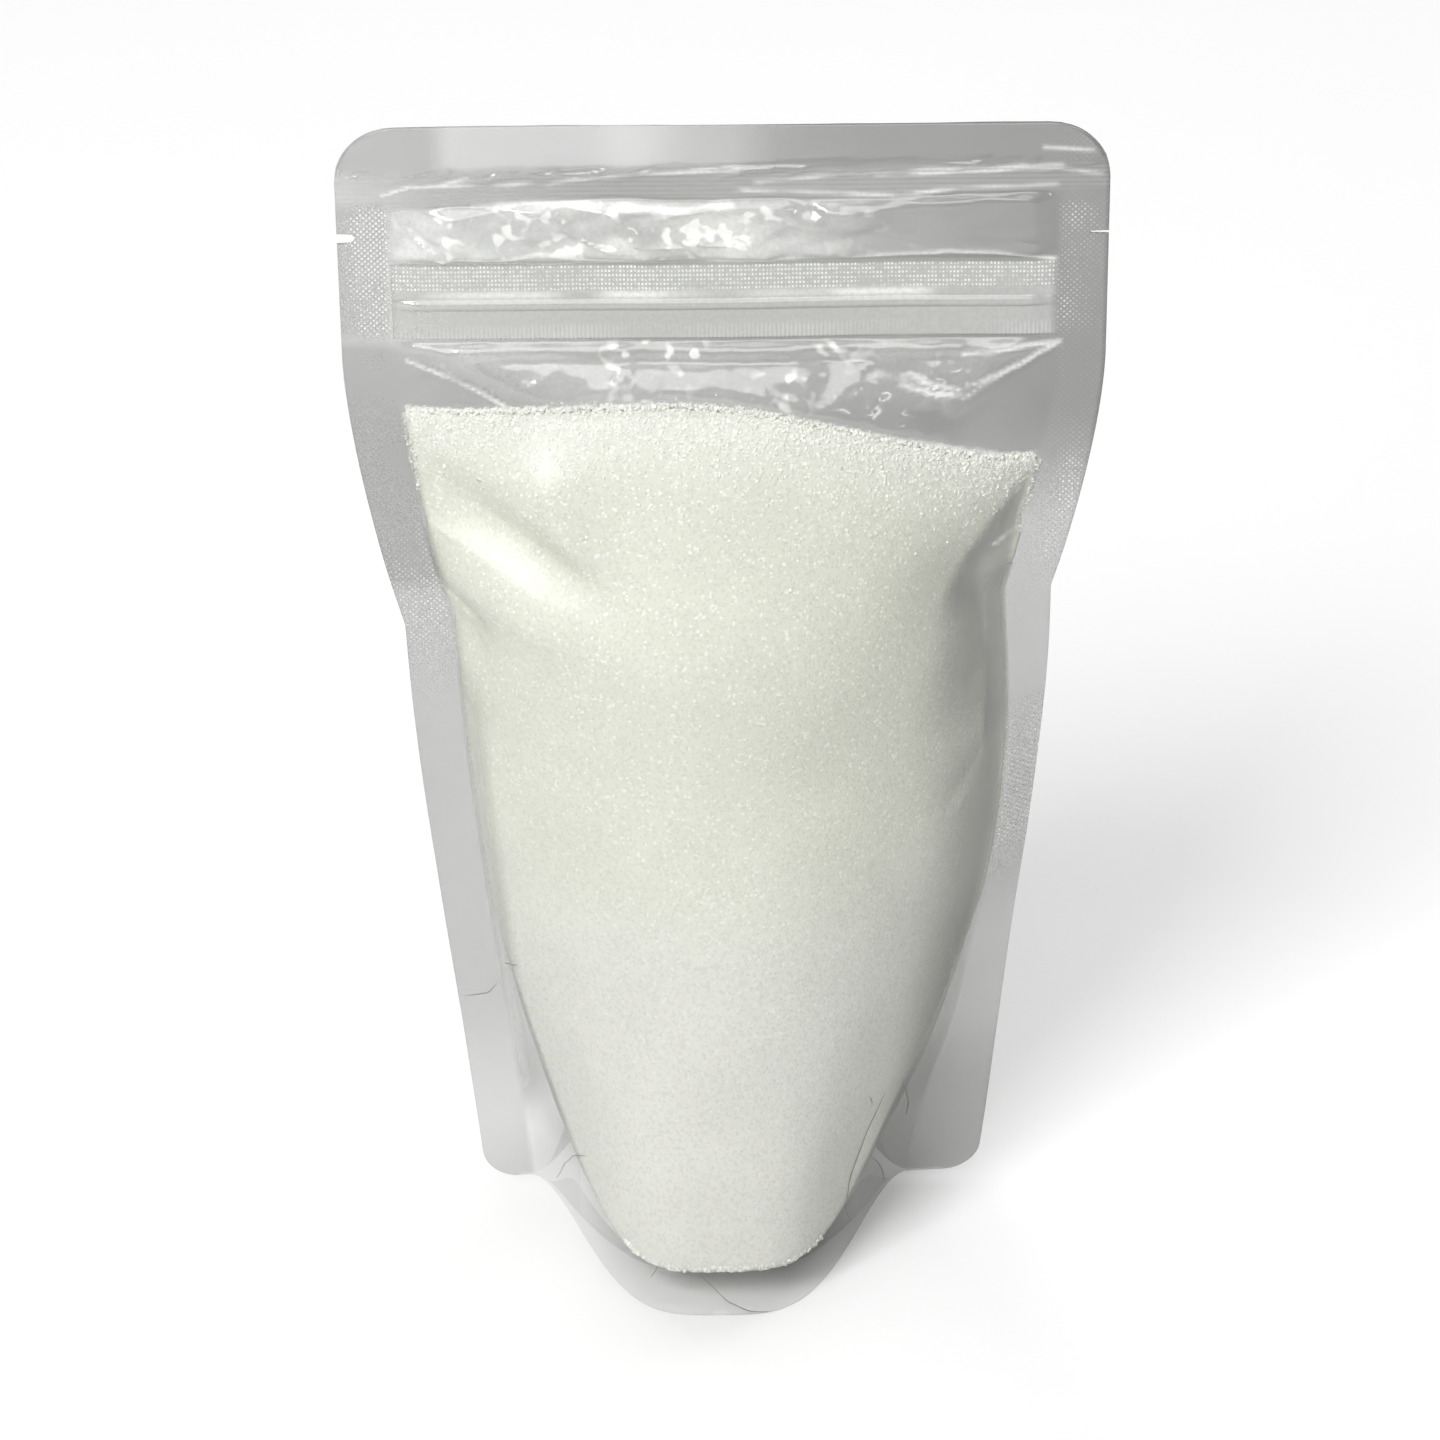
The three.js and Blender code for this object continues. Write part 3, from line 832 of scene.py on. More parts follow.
class NodeMaker:
    """Short calls for adding and linking nodes of one tree."""

    def __init__(self, tree):
        self.tree = tree

    def add(self, kind, **settings):
        """A new node with its settings."""
        node = self.tree.nodes.new(kind)
        for name, value in settings.items():
            setattr(node, name, value)
        return node

    def feed(self, value, socket):
        """Links an output to a socket, or sets the socket to a plain value."""
        if isinstance(value, bpy.types.NodeSocket):
            self.tree.links.new(value, socket)
        else:
            socket.default_value = value

    def node(self, kind, values, **settings):
        """A new node with its settings, and its inputs fed by name."""
        node = self.add(kind, **settings)
        for name, value in values.items():
            self.feed(value, node.inputs[name])
        return node

    def math(self, operation, *values, clamp=False):
        """A math node's result."""
        node = self.add("ShaderNodeMath", operation=operation, use_clamp=clamp)
        for value, socket in zip(values, node.inputs):
            self.feed(value, socket)
        return node.outputs[0]

    def times(self, product, *others):
        """Several values multiplied."""
        for other in others:
            product = self.math("MULTIPLY", product, other)
        return product

    def blend(self, amount, first, second):
        """Two colours mixed by an amount."""
        node = self.node("ShaderNodeMix", {"Factor": amount, "A": first, "B": second}, data_type="RGBA")
        return [output for output in node.outputs if output.type == "RGBA"][0]

    def ramp(self, value, low, high, to_low=0.0, to_high=1.0):
        """A value carried smoothly from one range to another."""
        limits = {"From Min": low, "From Max": high, "To Min": to_low, "To Max": to_high}
        node = self.node("ShaderNodeMapRange", {"Value": value, **limits}, interpolation_type="SMOOTHSTEP")
        return node.outputs["Result"]

    def mask(self, name):
        """A mask that the mesh holds."""
        return self.add("ShaderNodeAttribute", attribute_name=name).outputs["Fac"]

    def place(self):
        """Position on the piece, in metres."""
        return self.add("ShaderNodeTexCoord").outputs["Object"]

    def axes(self, place):
        """The parts of a position along X, Y and Z."""
        return self.node("ShaderNodeSeparateXYZ", {"Vector": place}).outputs

    def cloud(self, place, scale, detail, roughness=0.5):
        """Noise over the surface."""
        values = {"Vector": place, "Scale": scale, "Detail": detail, "Roughness": roughness}
        return self.node("ShaderNodeTexNoise", values).outputs["Fac"]

    def stripes(self, value, pitch):
        """A wave from 0 to 1 along a coordinate in metres."""
        turns = self.times(value, 2.0 * math.pi / pitch)
        return self.math("MULTIPLY_ADD", self.math("COSINE", turns), 0.5, 0.5)

    def bump(self, height, strength, distance):
        """A bump from a height, over a distance in metres."""
        values = {"Height": height, "Strength": strength, "Distance": distance}
        return self.node("ShaderNodeBump", values).outputs["Normal"]

    def group(self, tree, values):
        """The outputs of a node group."""
        return self.node("ShaderNodeGroup", values, node_tree=tree).outputs

    def finish(self, shader):
        """Joins a shader to the material's output."""
        self.node("ShaderNodeOutputMaterial", {"Surface": shader})

    def finish_plain(self, tint, roughness, specular, **more):
        """Joins an opaque shader of one tint to the material's output."""
        values = {"Base Color": tint, "Roughness": roughness, "Specular IOR Level": specular, **more}
        self.finish(self.node("ShaderNodeBsdfPrincipled", values).outputs[0])


def new_group(name, inputs, outputs):
    """An empty node group with named sockets, its node maker, its start's outputs and its end's inputs."""
    group = bpy.data.node_groups.new(name, "ShaderNodeTree")
    for direction, sockets in (("INPUT", inputs), ("OUTPUT", outputs)):
        for socket, kind in sockets.items():
            group.interface.new_socket(socket, in_out=direction, socket_type=f"NodeSocket{kind}")
    maker = NodeMaker(group)
    return group, maker, maker.add("NodeGroupInput").outputs, maker.add("NodeGroupOutput").inputs


def crystal_group():
    """Colour and height of packed fine crystals, for the filling and the loose crystals alike."""
    name = "Fine crystals"
    if name in bpy.data.node_groups:
        return bpy.data.node_groups[name]
    inputs = {
        "Place": "Vector",
        "Body": "Color",
        "Bright": "Color",
        "Crystals per metre": "Float",
        "Flecks": "Float",
    }
    group, maker, start, end = new_group(name, inputs, {"Colour": "Color", "Height": "Float"})
    values = {"Vector": start["Place"], "Scale": start["Crystals per metre"]}
    cells = maker.node("ShaderNodeTexVoronoi", values, feature="F1")
    tone = maker.node("ShaderNodeSeparateColor", {"Color": cells.outputs["Color"]})
    fleck = maker.times(maker.ramp(tone.outputs["Red"], 0.92, 0.97), start["Flecks"])
    drift = maker.ramp(maker.cloud(start["Place"], 55.0, 3.0), 0.25, 0.75, 0.965, 1.02)
    dull = maker.times(maker.ramp(tone.outputs["Green"], 0.0, 0.5, 0.9, 1.0), drift)
    shade = maker.node("ShaderNodeVectorMath", {"Scale": dull, 0: start["Body"]}, operation="SCALE")
    maker.feed(maker.blend(fleck, shade.outputs["Vector"], start["Bright"]), end["Colour"])
    round_top = maker.ramp(cells.outputs["Distance"], 0.0, 0.75, 1.0, 0.0)
    tall = maker.ramp(tone.outputs["Blue"], 0.0, 1.0, 0.45, 1.0)
    maker.feed(maker.times(round_top, tall), end["Height"])
    return group


def haze_group():
    """Slow clouding and fine scuffs of clear plastic, for the film and the zip alike."""
    name = "Plastic haze"
    if name in bpy.data.node_groups:
        return bpy.data.node_groups[name]
    inputs = {"Place": "Vector", "Haze": "Float", "Spread": "Float"}
    group, maker, start, end = new_group(name, inputs, {"Haze": "Float", "Scuff": "Float"})
    slow = maker.cloud(start["Place"], 30.0, 1.0)
    swing = maker.times(maker.math("SUBTRACT", slow, 0.5), start["Spread"])
    maker.feed(maker.math("ADD", start["Haze"], swing, clamp=True), end["Haze"])
    maker.feed(maker.ramp(maker.cloud(start["Place"], 900.0, 1.0, 0.65), 0.45, 0.75), end["Scuff"])
    return group


def new_material(name):
    """An empty node material and its node maker."""
    material = bpy.data.materials.new(name)
    material.use_nodes = True
    material.node_tree.nodes.clear()
    return material, NodeMaker(material.node_tree)


def opaque(value, brightness=1.0):
    """A colour with full alpha, made brighter or darker."""
    return (*(brightness * part for part in value), 1.0)


# Pitches of the embossed patterns in metres, crystals per metre, and the gloss of clear plastic
KNURL_PITCH = 1.05 * MM
DOT_PITCH_X = 0.62 * MM
DOT_PITCH_Z = 0.84 * MM
TICK_PITCH = 0.72 * MM
LINE_PITCH = 0.9 * MM
PACKED_CRYSTALS = 2300.0
LOOSE_CRYSTALS = 1100.0
GLOSS_POWER = 4.0
GLOSS_GRAZING = 0.35
GLOSS_FACING = 0.08


def clear_sheet(maker, tint, haze_amount, gloss_roughness, normal, passing, skin_mask=1.0):
    """Clear sheet: see-through where there is no haze, with a glossy skin that grows at grazing angles.

    Lamps shine through it by the passing colour, because haze scatters most of the light onwards.
    """
    values = {
        "Base Color": tint,
        "Alpha": haze_amount,
        "Normal": normal,
        "Roughness": 0.6,
        "Specular IOR Level": 0.0,
    }
    whole = maker.node("ShaderNodeBsdfPrincipled", values).outputs[0]
    facing = maker.node("ShaderNodeLayerWeight", {"Normal": normal}).outputs["Facing"]
    grazing = maker.math("POWER", facing, GLOSS_POWER)
    gloss = maker.math("MULTIPLY_ADD", grazing, GLOSS_GRAZING, GLOSS_FACING)
    gloss = maker.times(gloss, skin_mask)
    skin = maker.node("ShaderNodeBsdfGlossy", {"Roughness": gloss_roughness, "Normal": normal})
    through = maker.node("ShaderNodeBsdfTransparent", {"Color": passing})
    shadow = maker.add("ShaderNodeLightPath").outputs["Is Shadow Ray"]
    for amount, over in ((gloss, skin), (shadow, through)):
        whole = maker.node("ShaderNodeMixShader", {"Fac": amount, 1: whole, 2: over.outputs[0]}).outputs[0]
    return whole


def film_material(colours):
    """Clear film with grey haze and painted shade, knurled side seals with painted sparkle, painted
    highlights of blotches, glints and wrinkles, a dotted and ribbed zip tape and a lined heat seal.
    """
    material, maker = new_material("Clear film")
    place = maker.place()
    axes = maker.axes(place)
    x = axes["X"]
    z = axes["Z"]
    sparkle = maker.ramp(maker.cloud(place, 1300.0, 1.0), 0.36, 0.62)
    rising = maker.stripes(maker.math("ADD", x, z), KNURL_PITCH)
    falling = maker.stripes(maker.math("SUBTRACT", x, z), KNURL_PITCH)
    # painted sparkle: where the knurl mask is strong, its diamonds whiten the film's colour, standing in for
    # glints on the bumps
    diamond = maker.ramp(maker.times(rising, falling), 0.4, 0.64)
    diamond = maker.times(diamond, maker.mask("knurl"), maker.ramp(sparkle, 0.0, 1.0, 0.4, 1.3))
    dot = maker.ramp(maker.times(maker.stripes(x, DOT_PITCH_X), maker.stripes(z, DOT_PITCH_Z)), 0.25, 0.7)
    dot = maker.times(dot, maker.mask("dots"), maker.ramp(sparkle, 0.0, 1.0, 0.15, 1.5))
    emboss = maker.math("MAXIMUM", diamond, dot)
    for value, pitch, mask in ((x, TICK_PITCH, "ticks"), (z, LINE_PITCH, "band")):
        emboss = maker.math("MAXIMUM", emboss, maker.times(maker.stripes(value, pitch), maker.mask(mask)))
    # the haze mask carries painted shade and light as well as the film's haze: greyer film stands in for
    # shade, clearer film for light
    haze = maker.mask("haze")
    clouding = maker.group(haze_group(), {"Place": place, "Haze": haze, "Spread": 0.12})
    # painted highlights: milk, glints and the embossing whiten the film's colour, mixing the real milkiness
    # of crinkled film and the zip tape with painted blotches, glints, wrinkle lines and sparkle
    milk = maker.times(maker.mask("milk"), maker.ramp(sparkle, 0.0, 1.0, 0.93, 1.07))
    glint = maker.ramp(maker.cloud(place, 300.0, 1.0, 0.6), 0.55, 0.7)
    pale = maker.math("MULTIPLY_ADD", glint, maker.mask("glint"), milk)
    pale = maker.math("MULTIPLY_ADD", emboss, 0.9, pale, clamp=True)
    tint = maker.blend(pale, opaque(colours.film), opaque(colours.emboss))
    rough = maker.ramp(maker.mask("dull"), 0.0, 1.0, 0.11, 0.42)
    rough = maker.math("MULTIPLY_ADD", clouding["Scuff"], 0.05, rough)
    amount = maker.math("MULTIPLY_ADD", pale, 0.3, clouding["Haze"])
    amount = maker.math("MULTIPLY_ADD", emboss, 0.3, amount, clamp=True)
    passing = maker.math("MULTIPLY_ADD", haze, -0.15, 0.985)
    normal = maker.bump(emboss, 0.35, 0.12 * MM)
    maker.finish(clear_sheet(maker, tint, amount, rough, normal, passing, maker.mask("skin")))
    return material


def zip_material(colours):
    """Pale translucent plastic of the zip."""
    material, maker = new_material("Zip plastic")
    clouding = maker.group(haze_group(), {"Place": maker.place(), "Haze": 0.34, "Spread": 0.2})
    normal = maker.bump(clouding["Scuff"], 0.25, 0.05 * MM)
    rough = maker.math("MULTIPLY_ADD", clouding["Scuff"], 0.15, 0.16)
    passing = opaque((0.94, 0.94, 0.94))
    maker.finish(clear_sheet(maker, opaque(colours.zip), clouding["Haze"], rough, normal, passing))
    return material


def filling_material(colours):
    """Packed fine crystals: plain white below, off-white above, and painted whiter on top of the heap where
    light falls from above.
    """
    material, maker = new_material("Packed crystals")
    place = maker.place()
    height = maker.axes(place)["Z"]
    drift = maker.math("MULTIPLY_ADD", maker.cloud(place, 22.0, 3.0), 0.05, height)
    upper = maker.ramp(drift, 0.075, 0.125)
    body = maker.blend(upper, opaque(colours.filling_low), opaque(colours.filling))
    values = {
        "Place": place,
        # painted light: the crest colour whitens the filling towards the top of the heap
        "Body": maker.blend(maker.mask("crest"), body, opaque(colours.crest)),
        "Bright": opaque(colours.crystal),
        "Crystals per metre": PACKED_CRYSTALS,
        "Flecks": maker.ramp(height, 0.02, 0.13, 0.12, 0.6),
    }
    fine = maker.group(crystal_group(), values)
    maker.finish_plain(fine["Colour"], 0.7, 0.25, Normal=maker.bump(fine["Height"], 0.35, 0.2 * MM))
    return material


def crystal_material(colours):
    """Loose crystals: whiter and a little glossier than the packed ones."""
    material, maker = new_material("Loose crystals")
    values = {
        "Place": maker.place(),
        "Body": opaque(colours.loose),
        "Bright": opaque(colours.crystal),
        "Crystals per metre": LOOSE_CRYSTALS,
        "Flecks": 0.7,
    }
    maker.finish_plain(maker.group(crystal_group(), values)["Colour"], 0.4, 0.5)
    return material


def hair_material(colours):
    """Dark fine lines that thin out in places."""
    material, maker = new_material("Fine dark lines")
    thin = maker.ramp(maker.cloud(maker.place(), 300.0, 2.0), 0.3, 0.7)
    maker.finish_plain(maker.blend(thin, opaque(colours.hair), opaque(colours.hair, 2.4)), 0.55, 0.5)
    return material


def floor_material(colours):
    """Pale matt floor with a trace of unevenness."""
    material, maker = new_material("Pale floor")
    drift = maker.cloud(maker.place(), 3.0, 2.0)
    maker.finish_plain(maker.blend(drift, opaque(colours.floor, 0.985), opaque(colours.floor)), 0.8, 0.1)
    return material


# Rows and columns of the film, in millimetres where they are steps
FOLDS_FROM = 105.0
CREASES_FROM = 163.0
LOW_ROW_STEP = 1.5
FOLD_ROW_STEP = 0.9
CREASE_ROW_STEP = 0.6
ZIP_ROW_STEP = 0.25
NOTCH_ROW_STEP = 0.1
TOP_ROW_STEP = 0.44
LEAST_ROW_STEP = 0.04
CORNER_ROWS = 9
POCKET_COLUMNS = 116
SEAL_COLUMNS = 9
SEAL_LEAST = 1.5

# Rows of the underside as shares of the depth, from the film to the middle, with the skirt and the pad
UNDERSIDE_ROWS = np.array([1.0, 0.985, 0.965, 0.95, 0.93, 0.91, 0.88, 0.84, 0.8, 0.74, 0.67, 0.6, 0.3, 0.0])
SKIRT_OUTSIDE = 0.965
SKIRT_INSIDE = 0.93
PAD_SHARE = 0.6
SAG_POWER = 1.6
GUSSET_HAZE = 0.13
GUSSET_SKIN = 0.06


def film_rows(shape):
    """Heights of the film's rows, close together at the folds, the zip, the notches and the corners."""
    size = shape.size
    top = shape.top
    notch = 0.6 * top.notch_width[0]
    corner = 1.0 - np.cos(np.linspace(0.0, np.pi / 2.0, CORNER_ROWS))
    corner_low = size.height - size.top_corner
    rows = np.concatenate(
        [
            size.foot_lift + size.foot_corner * corner,
            np.arange(size.foot_lift + size.foot_corner, FOLDS_FROM, LOW_ROW_STEP),
            np.arange(FOLDS_FROM, CREASES_FROM, FOLD_ROW_STEP),
            np.arange(CREASES_FROM, top.zip_low - 1.0, CREASE_ROW_STEP),
            np.arange(top.zip_low - 0.8, top.zip_high + 0.8, ZIP_ROW_STEP),
            np.arange(top.zip_high + 1.0, corner_low, TOP_ROW_STEP),
            np.arange(top.notch_height - notch, top.notch_height + notch, NOTCH_ROW_STEP),
            np.arange(corner_low, size.height - 1.2, TOP_ROW_STEP),
            size.height - size.top_corner * corner,
        ]
    )
    rows = np.unique(np.round(rows, 4))
    apart = np.concatenate([[True], np.diff(rows) > LEAST_ROW_STEP])
    return rows[apart]


def film_columns(shape, z):
    """X of every column of each row, from the left edge to the right edge."""
    left_edge = shape.edge(z, -1)
    right_edge = shape.edge(z, 1)
    left = np.maximum(shape.pocket(z, -1), left_edge + SEAL_LEAST)
    right = np.minimum(shape.pocket(z, 1), right_edge - SEAL_LEAST)
    seal = np.linspace(0.0, 1.0, SEAL_COLUMNS + 1)[None, :]
    spread = spread_across(POCKET_COLUMNS + 1, 0.4)[None, :]
    middle = (left + right) / 2.0 + spread * (right - left) / 2.0
    return np.concatenate(
        [mix(left_edge, left, seal)[:, :-1], middle, mix(right, right_edge, seal)[:, 1:]], axis=1
    )


def underside(shape, front, back):
    """Points across the underside: under the skirt, up into the groove, and down to the flat pad."""
    size = shape.size
    skirt = np.interp(UNDERSIDE_ROWS, [SKIRT_INSIDE, SKIRT_OUTSIDE], [1.0, 0.0])
    sag = rise(UNDERSIDE_ROWS, PAD_SHARE, SKIRT_INSIDE - PAD_SHARE)
    room = rise(np.abs(front[:, 1]), 0.8, size.groove_full)[:, None]
    edge = front[:, 2][:, None]
    pad = edge * (1.0 - room)
    groove = edge + size.groove_depth * room
    sagging = mix(pad, groove, sag**SAG_POWER)
    z = np.where(UNDERSIDE_ROWS >= SKIRT_INSIDE, mix(edge, groove, skirt), sagging)
    halves = []
    for rim in (front, back):
        points = np.repeat(rim[:, None, :], len(UNDERSIDE_ROWS), axis=1)
        points[:, :, 1] = rim[:, 1][:, None] * UNDERSIDE_ROWS
        points[:, :, 2] = z
        halves.append(points)
    ahead, behind = halves
    ahead[:, -1, 1] = (front[:, 1] + back[:, 1]) / 2.0
    return np.concatenate([ahead, behind[:, -2::-1]], axis=1)


def build_film(shape, colours):
    """The whole film as one closed skin: front, back, edges, top and gusset."""
    z = film_rows(shape)[:, None]
    x = film_columns(shape, z)
    z = np.broadcast_to(z, x.shape)
    front = shape.film_point(x, z, True)
    back = shape.film_point(x, z, False)
    inner = underside(shape, front[0], back[0])[:, 1:-1]
    points = np.concatenate([part.reshape(-1, 3) for part in (front, back, inner)])
    ahead = numbered(*x.shape)
    behind = numbered(*x.shape, x.size)
    under = numbered(*inner.shape[:2], 2 * x.size)
    lid = np.stack([ahead[-1], behind[-1]])
    gusset = np.concatenate([ahead[0][:, None], under, behind[0][:, None]], axis=1)
    faces = np.concatenate([triangles_of(grid) for grid in (wrapped(ahead, behind), lid, gusset.T[::-1])])
    gusset_masks = {"haze": GUSSET_HAZE * colours.film_haze, "skin": GUSSET_SKIN}
    masks = {}
    for name, (on_front, on_back) in film_masks(shape, x, z, colours).items():
        rest = np.full(under.size, gusset_masks.get(name, 0.0))
        masks[name] = np.concatenate([on_front.ravel(), on_back.ravel(), rest])
    return points, faces, masks


def bare_haze_and_shade(shape, x, z, colours):
    """Haze of the bare film with painted shade and light: more haze to the right, at the top and in patches
    as painted shade, and less at the left foot, on the lip and low in the pocket as painted light.
    """
    part = ease(x / shape.size.film_width + 0.5)
    tone = mix(mix(0.76, 0.74, part), mix(0.82, 1.55, part), rise(z, 140.0, 30.0))
    for patch in (RIGHT_FOOT, LOWER_RIGHT, LEFT_SEAL, LEFT_FOOT):
        tone = tone + patch_amount(patch, x, z)
    tone = tone + patch_amount(LEFT_FLAT, x, z) * (1.0 - shape.facet(x, z))
    lip = rise(z, shape.seal_high(x), 1.5)
    # painted light: the lip of film above the heat seal is painted paler left of the middle
    lip_light = rise(x, -50.0, 5.0) * rise(x, 12.0, -12.0) + 0.6 * hump(x, -15.0, 7.0)
    cloud = waves(x, z, CLOUD_WAVE) * rise(z, 150.0, 30.0)
    inside = shape.inside(x, z, SEAL_STEEP)
    tone = tone + cloud * (1.0 - lip) - 0.4 * lip * lip_light + patch_amount(LEFT_STRIP, x, z) * inside
    # painted light low in the pocket: much less haze near the foot on the left, and a little more haze low
    # on the right as painted shade
    thin = (1.0 - 0.6 * (1.0 - part) * rise(z, 25.0, -12.0)) * (1.0 + 0.1 * part * rise(z, 75.0, -25.0))
    return np.clip(colours.film_haze * tone * mix(1.0, thin, inside), 0.03, 0.9)


def front_haze_and_shade(shape, x, z, colours, bare, touch):
    """Haze of the front film, with painted shade: bare, on the filling, painted shade where tucked in, where
    it parts from the filling and where it is pleated over it, and painted shadow on the strip beside the
    pleat.
    """
    left_rim, right_rim = shape.rim(x, z)
    left_rim = 0.75 * left_rim * shape.inside(x, z, RIM_STEEP)
    haze = mix(bare, colours.contact_haze, touch)
    haze = mix(haze, colours.tuck_shade, touch * shape.tuck(x, z))
    haze = mix(haze, colours.rim_haze_and_shade, np.maximum(left_rim, touch * right_rim))
    haze = mix(haze, colours.strip_shadow, shape.inside(x, z, STRIP_STEEP) * shape.strip(x, z))
    return mix(haze, colours.pleat_haze_and_shade, touch * shape.pleat(x, z))


def seal_knurl_and_sparkle(shape, x, z, left_side):
    """Diamond embossing of the side seals, with painted sparkle where it is strong: beside the zip, most on
    the left, at the waists and at the lower right.
    """
    sealed = rise(np.abs(shape.across(x, z)), 0.985, 0.012)
    out = np.maximum(shape.pocket(z, -1) - x, x - shape.pocket(z, 1))
    beside_zip = rise(z, 181.0, 4.0) * rise(z, 208.0, -2.0) * mix(0.6, 2.3, left_side) * hump(out, 2.0, 3.6)
    waist_left = 1.3 * hump(z, 128.0, 11.0) * ease(-x)
    waist_right = 1.5 * hump(z, 147.0, 10.0) * hump(out, 5.0, 2.8) * ease(x)
    low_right = 0.9 * ease(x) * rise(z, 62.0, 20.0) * rise(z, 108.0, -10.0)
    strong = np.maximum.reduce([beside_zip, low_right, waist_left, waist_right])
    return sealed * (0.06 * rise(z, 60.0, 30.0) + strong) * mix(0.5, 1.1, patchy(x, z, 0.5, KNURL_WAVE))


def film_masks(shape, x, z, colours):
    """Masks of haze with painted shade, contact, milkiness with painted highlights and embossing with
    painted sparkle, each for the front and the back.
    """
    top = shape.top
    inside = shape.inside(x, z, SEAL_STEEP)
    left_side = rise(x, 34.0, -30.0)
    dots = inside * band(z, top.dots_low, top.zip_high, 0.3) * mix(0.8, 1.3, left_side)
    ticks = inside * rise(z, top.zip_low - 0.15, 0.3) * rise(z, top.ticks_high + 0.9, -1.8)
    slack = inside * rise(z, top.zip_high, 1.5) * rise(z, shape.seal_low(x), -1.0) * left_side
    tape = inside * rise(z, top.zip_low, 0.5) * rise(z, top.zip_high, -0.5)
    tension = shape.facet(x, z) * rise(z, 168.0, 6.0) * rise(z, top.zip_low, -1.0) * inside
    # a pale line just below the dotted tape, broken into patches
    pale_below_dots = inside * hump(z, top.dots_low - 0.7, 0.8) * patchy(x, z, 0.5, PALE_BELOW_DOTS_WAVE)
    blotch = patchy(x, z, 0.5, *BLOTCH_WAVES)
    # milkiness of the slack film and the zip tape, with painted highlights in blotches on the slack and
    # pulled film
    milk = slack * mix(0.4, 0.62, blotch**2) + 0.32 * tape
    milk = milk + 0.6 * pale_below_dots + tension * mix(0.18, 0.28, blotch)
    alike = {
        "knurl": seal_knurl_and_sparkle(shape, x, z, left_side),
        "dots": dots * patchy(x, z, 0.75, DOT_WAVE),
        "ticks": 0.24 * ticks * patchy(x, z, 0.45, TICK_WAVE),
        "band": 0.12 * band(z, shape.seal_low(x), shape.seal_high(x), SEAL_EDGE),
        # painted highlights: glints on the slack film and on the pulled film below the zip
        "glint": np.maximum(slack, tension) * patchy(x, z, 0.5, GLINT_WAVE),
        "skin": 1.0 - 0.8 * inside * rise(z, 80.0, -30.0),
    }
    masks = {name: (values, values) for name, values in alike.items()}
    # painted highlights along the bright wrinkles, and painted light on the front film where it parts from
    # the filling at the left
    wrinkles = 0.85 * bright_lines(x, z, WRINKLE_HIGHLIGHT_HALF)
    masks["milk"] = (milk + wrinkles + 0.34 * shape.rim(x, z)[0] * inside, milk)
    touch_front = shape.contact(x, z, True)
    touch_back = shape.contact(x, z, False)
    skirt = inside * rise(z, 16.0, -6.0)
    masks["dull"] = (np.maximum(touch_front, skirt), np.maximum(touch_back, skirt))
    # the haze masks carry the painted shade and light of the bare film, and on the front the painted shade
    # of the pleat, strip, rims and tuck
    bare = bare_haze_and_shade(shape, x, z, colours)
    back_haze_and_shade = mix(bare, colours.contact_haze, touch_back)
    masks["haze"] = (front_haze_and_shade(shape, x, z, colours, bare, touch_front), back_haze_and_shade)
    return masks


# The zip's rows and columns, its margins, and its distances from the film and the middle plane
ZIP_COLUMNS = 90
ZIP_ROWS = 40
ZIP_SHARE = 0.985
ZIP_MARGIN = 0.2
ZIP_UNDER_FILM = 0.1
ZIP_FROM_MIDDLE = 0.06


def build_zip(shape):
    """Two tapes with their interlocking ribs, each a closed strip just inside its film."""
    heights = np.linspace(shape.top.zip_low + ZIP_MARGIN, shape.top.zip_high - ZIP_MARGIN, ZIP_ROWS)
    z, across = np.meshgrid(heights, np.linspace(-ZIP_SHARE, ZIP_SHARE, ZIP_COLUMNS), indexing="ij")
    x = shape.pocket_place(across, z)
    ahead = numbered(*x.shape)
    behind = numbered(*x.shape, x.size)
    lids = (np.stack([ahead[-1], behind[-1]]), np.stack([behind[0], ahead[0]]))
    faces = np.concatenate([triangles_of(patch) for patch in (wrapped(ahead, behind), *lids)])
    strips = []
    for front in (True, False):
        outer = shape.film_point(x, z, front)
        inner = outer.copy()
        outer[..., 1] -= outward(front) * ZIP_UNDER_FILM
        inner[..., 1] = outward(front) * ZIP_FROM_MIDDLE
        points = np.concatenate([outer.reshape(-1, 3), inner.reshape(-1, 3)])
        strips.append((points, faces if front else faces[:, ::-1]))
    return join(strips)


FILL_ROWS = 225
FILL_COLUMNS = 170
FILL_TOP_ROWS = 34
FILL_FLOOR_ROWS = 16
CREST_LIGHT_FADE = 16.0


def spread_across(steps, bend):
    """Places from -1 to 1, closer together at the two ends by the bend."""
    part = np.linspace(-1.0, 1.0, steps)
    return (1.0 - bend) * part + bend * np.sin(np.pi / 2.0 * part)


def between_faces(shape, across, up, part):
    """Points a part of the way from the filling's front face to its back face."""
    front = shape.fill_point(across, up, True)
    back = shape.fill_point(across, up, False)
    return mix(front, back, part[..., None])


def top_point(shape, across, part):
    """A point of the filling's uneven top, a part of the way from its front edge to its back edge."""
    points = between_faces(shape, across, 1.0, part)
    heap = waves(points[..., 0], points[..., 1], *HEAP_WAVES)
    points[..., 2] += heap * np.sqrt(np.sin(np.pi * part)) * np.minimum(1.0, 8.0 * (1.0 - np.abs(across)))
    return points


def floor_point(shape, across, part):
    """A point of the filling's underside, which sags into the gusset between its front and back edges."""
    points = between_faces(shape, across, 0.0, part)
    lowest = shape.fill.floor_level + 0.9 * (shape.fill_foot(across) - shape.fill.foot_middle)
    sag = (1.0 - np.abs(2.0 * part - 1.0) ** 3) * (1.0 - np.abs(across) ** 6)
    points[..., 2] -= np.maximum(points[..., 2] - lowest, 0.0) * sag
    return points


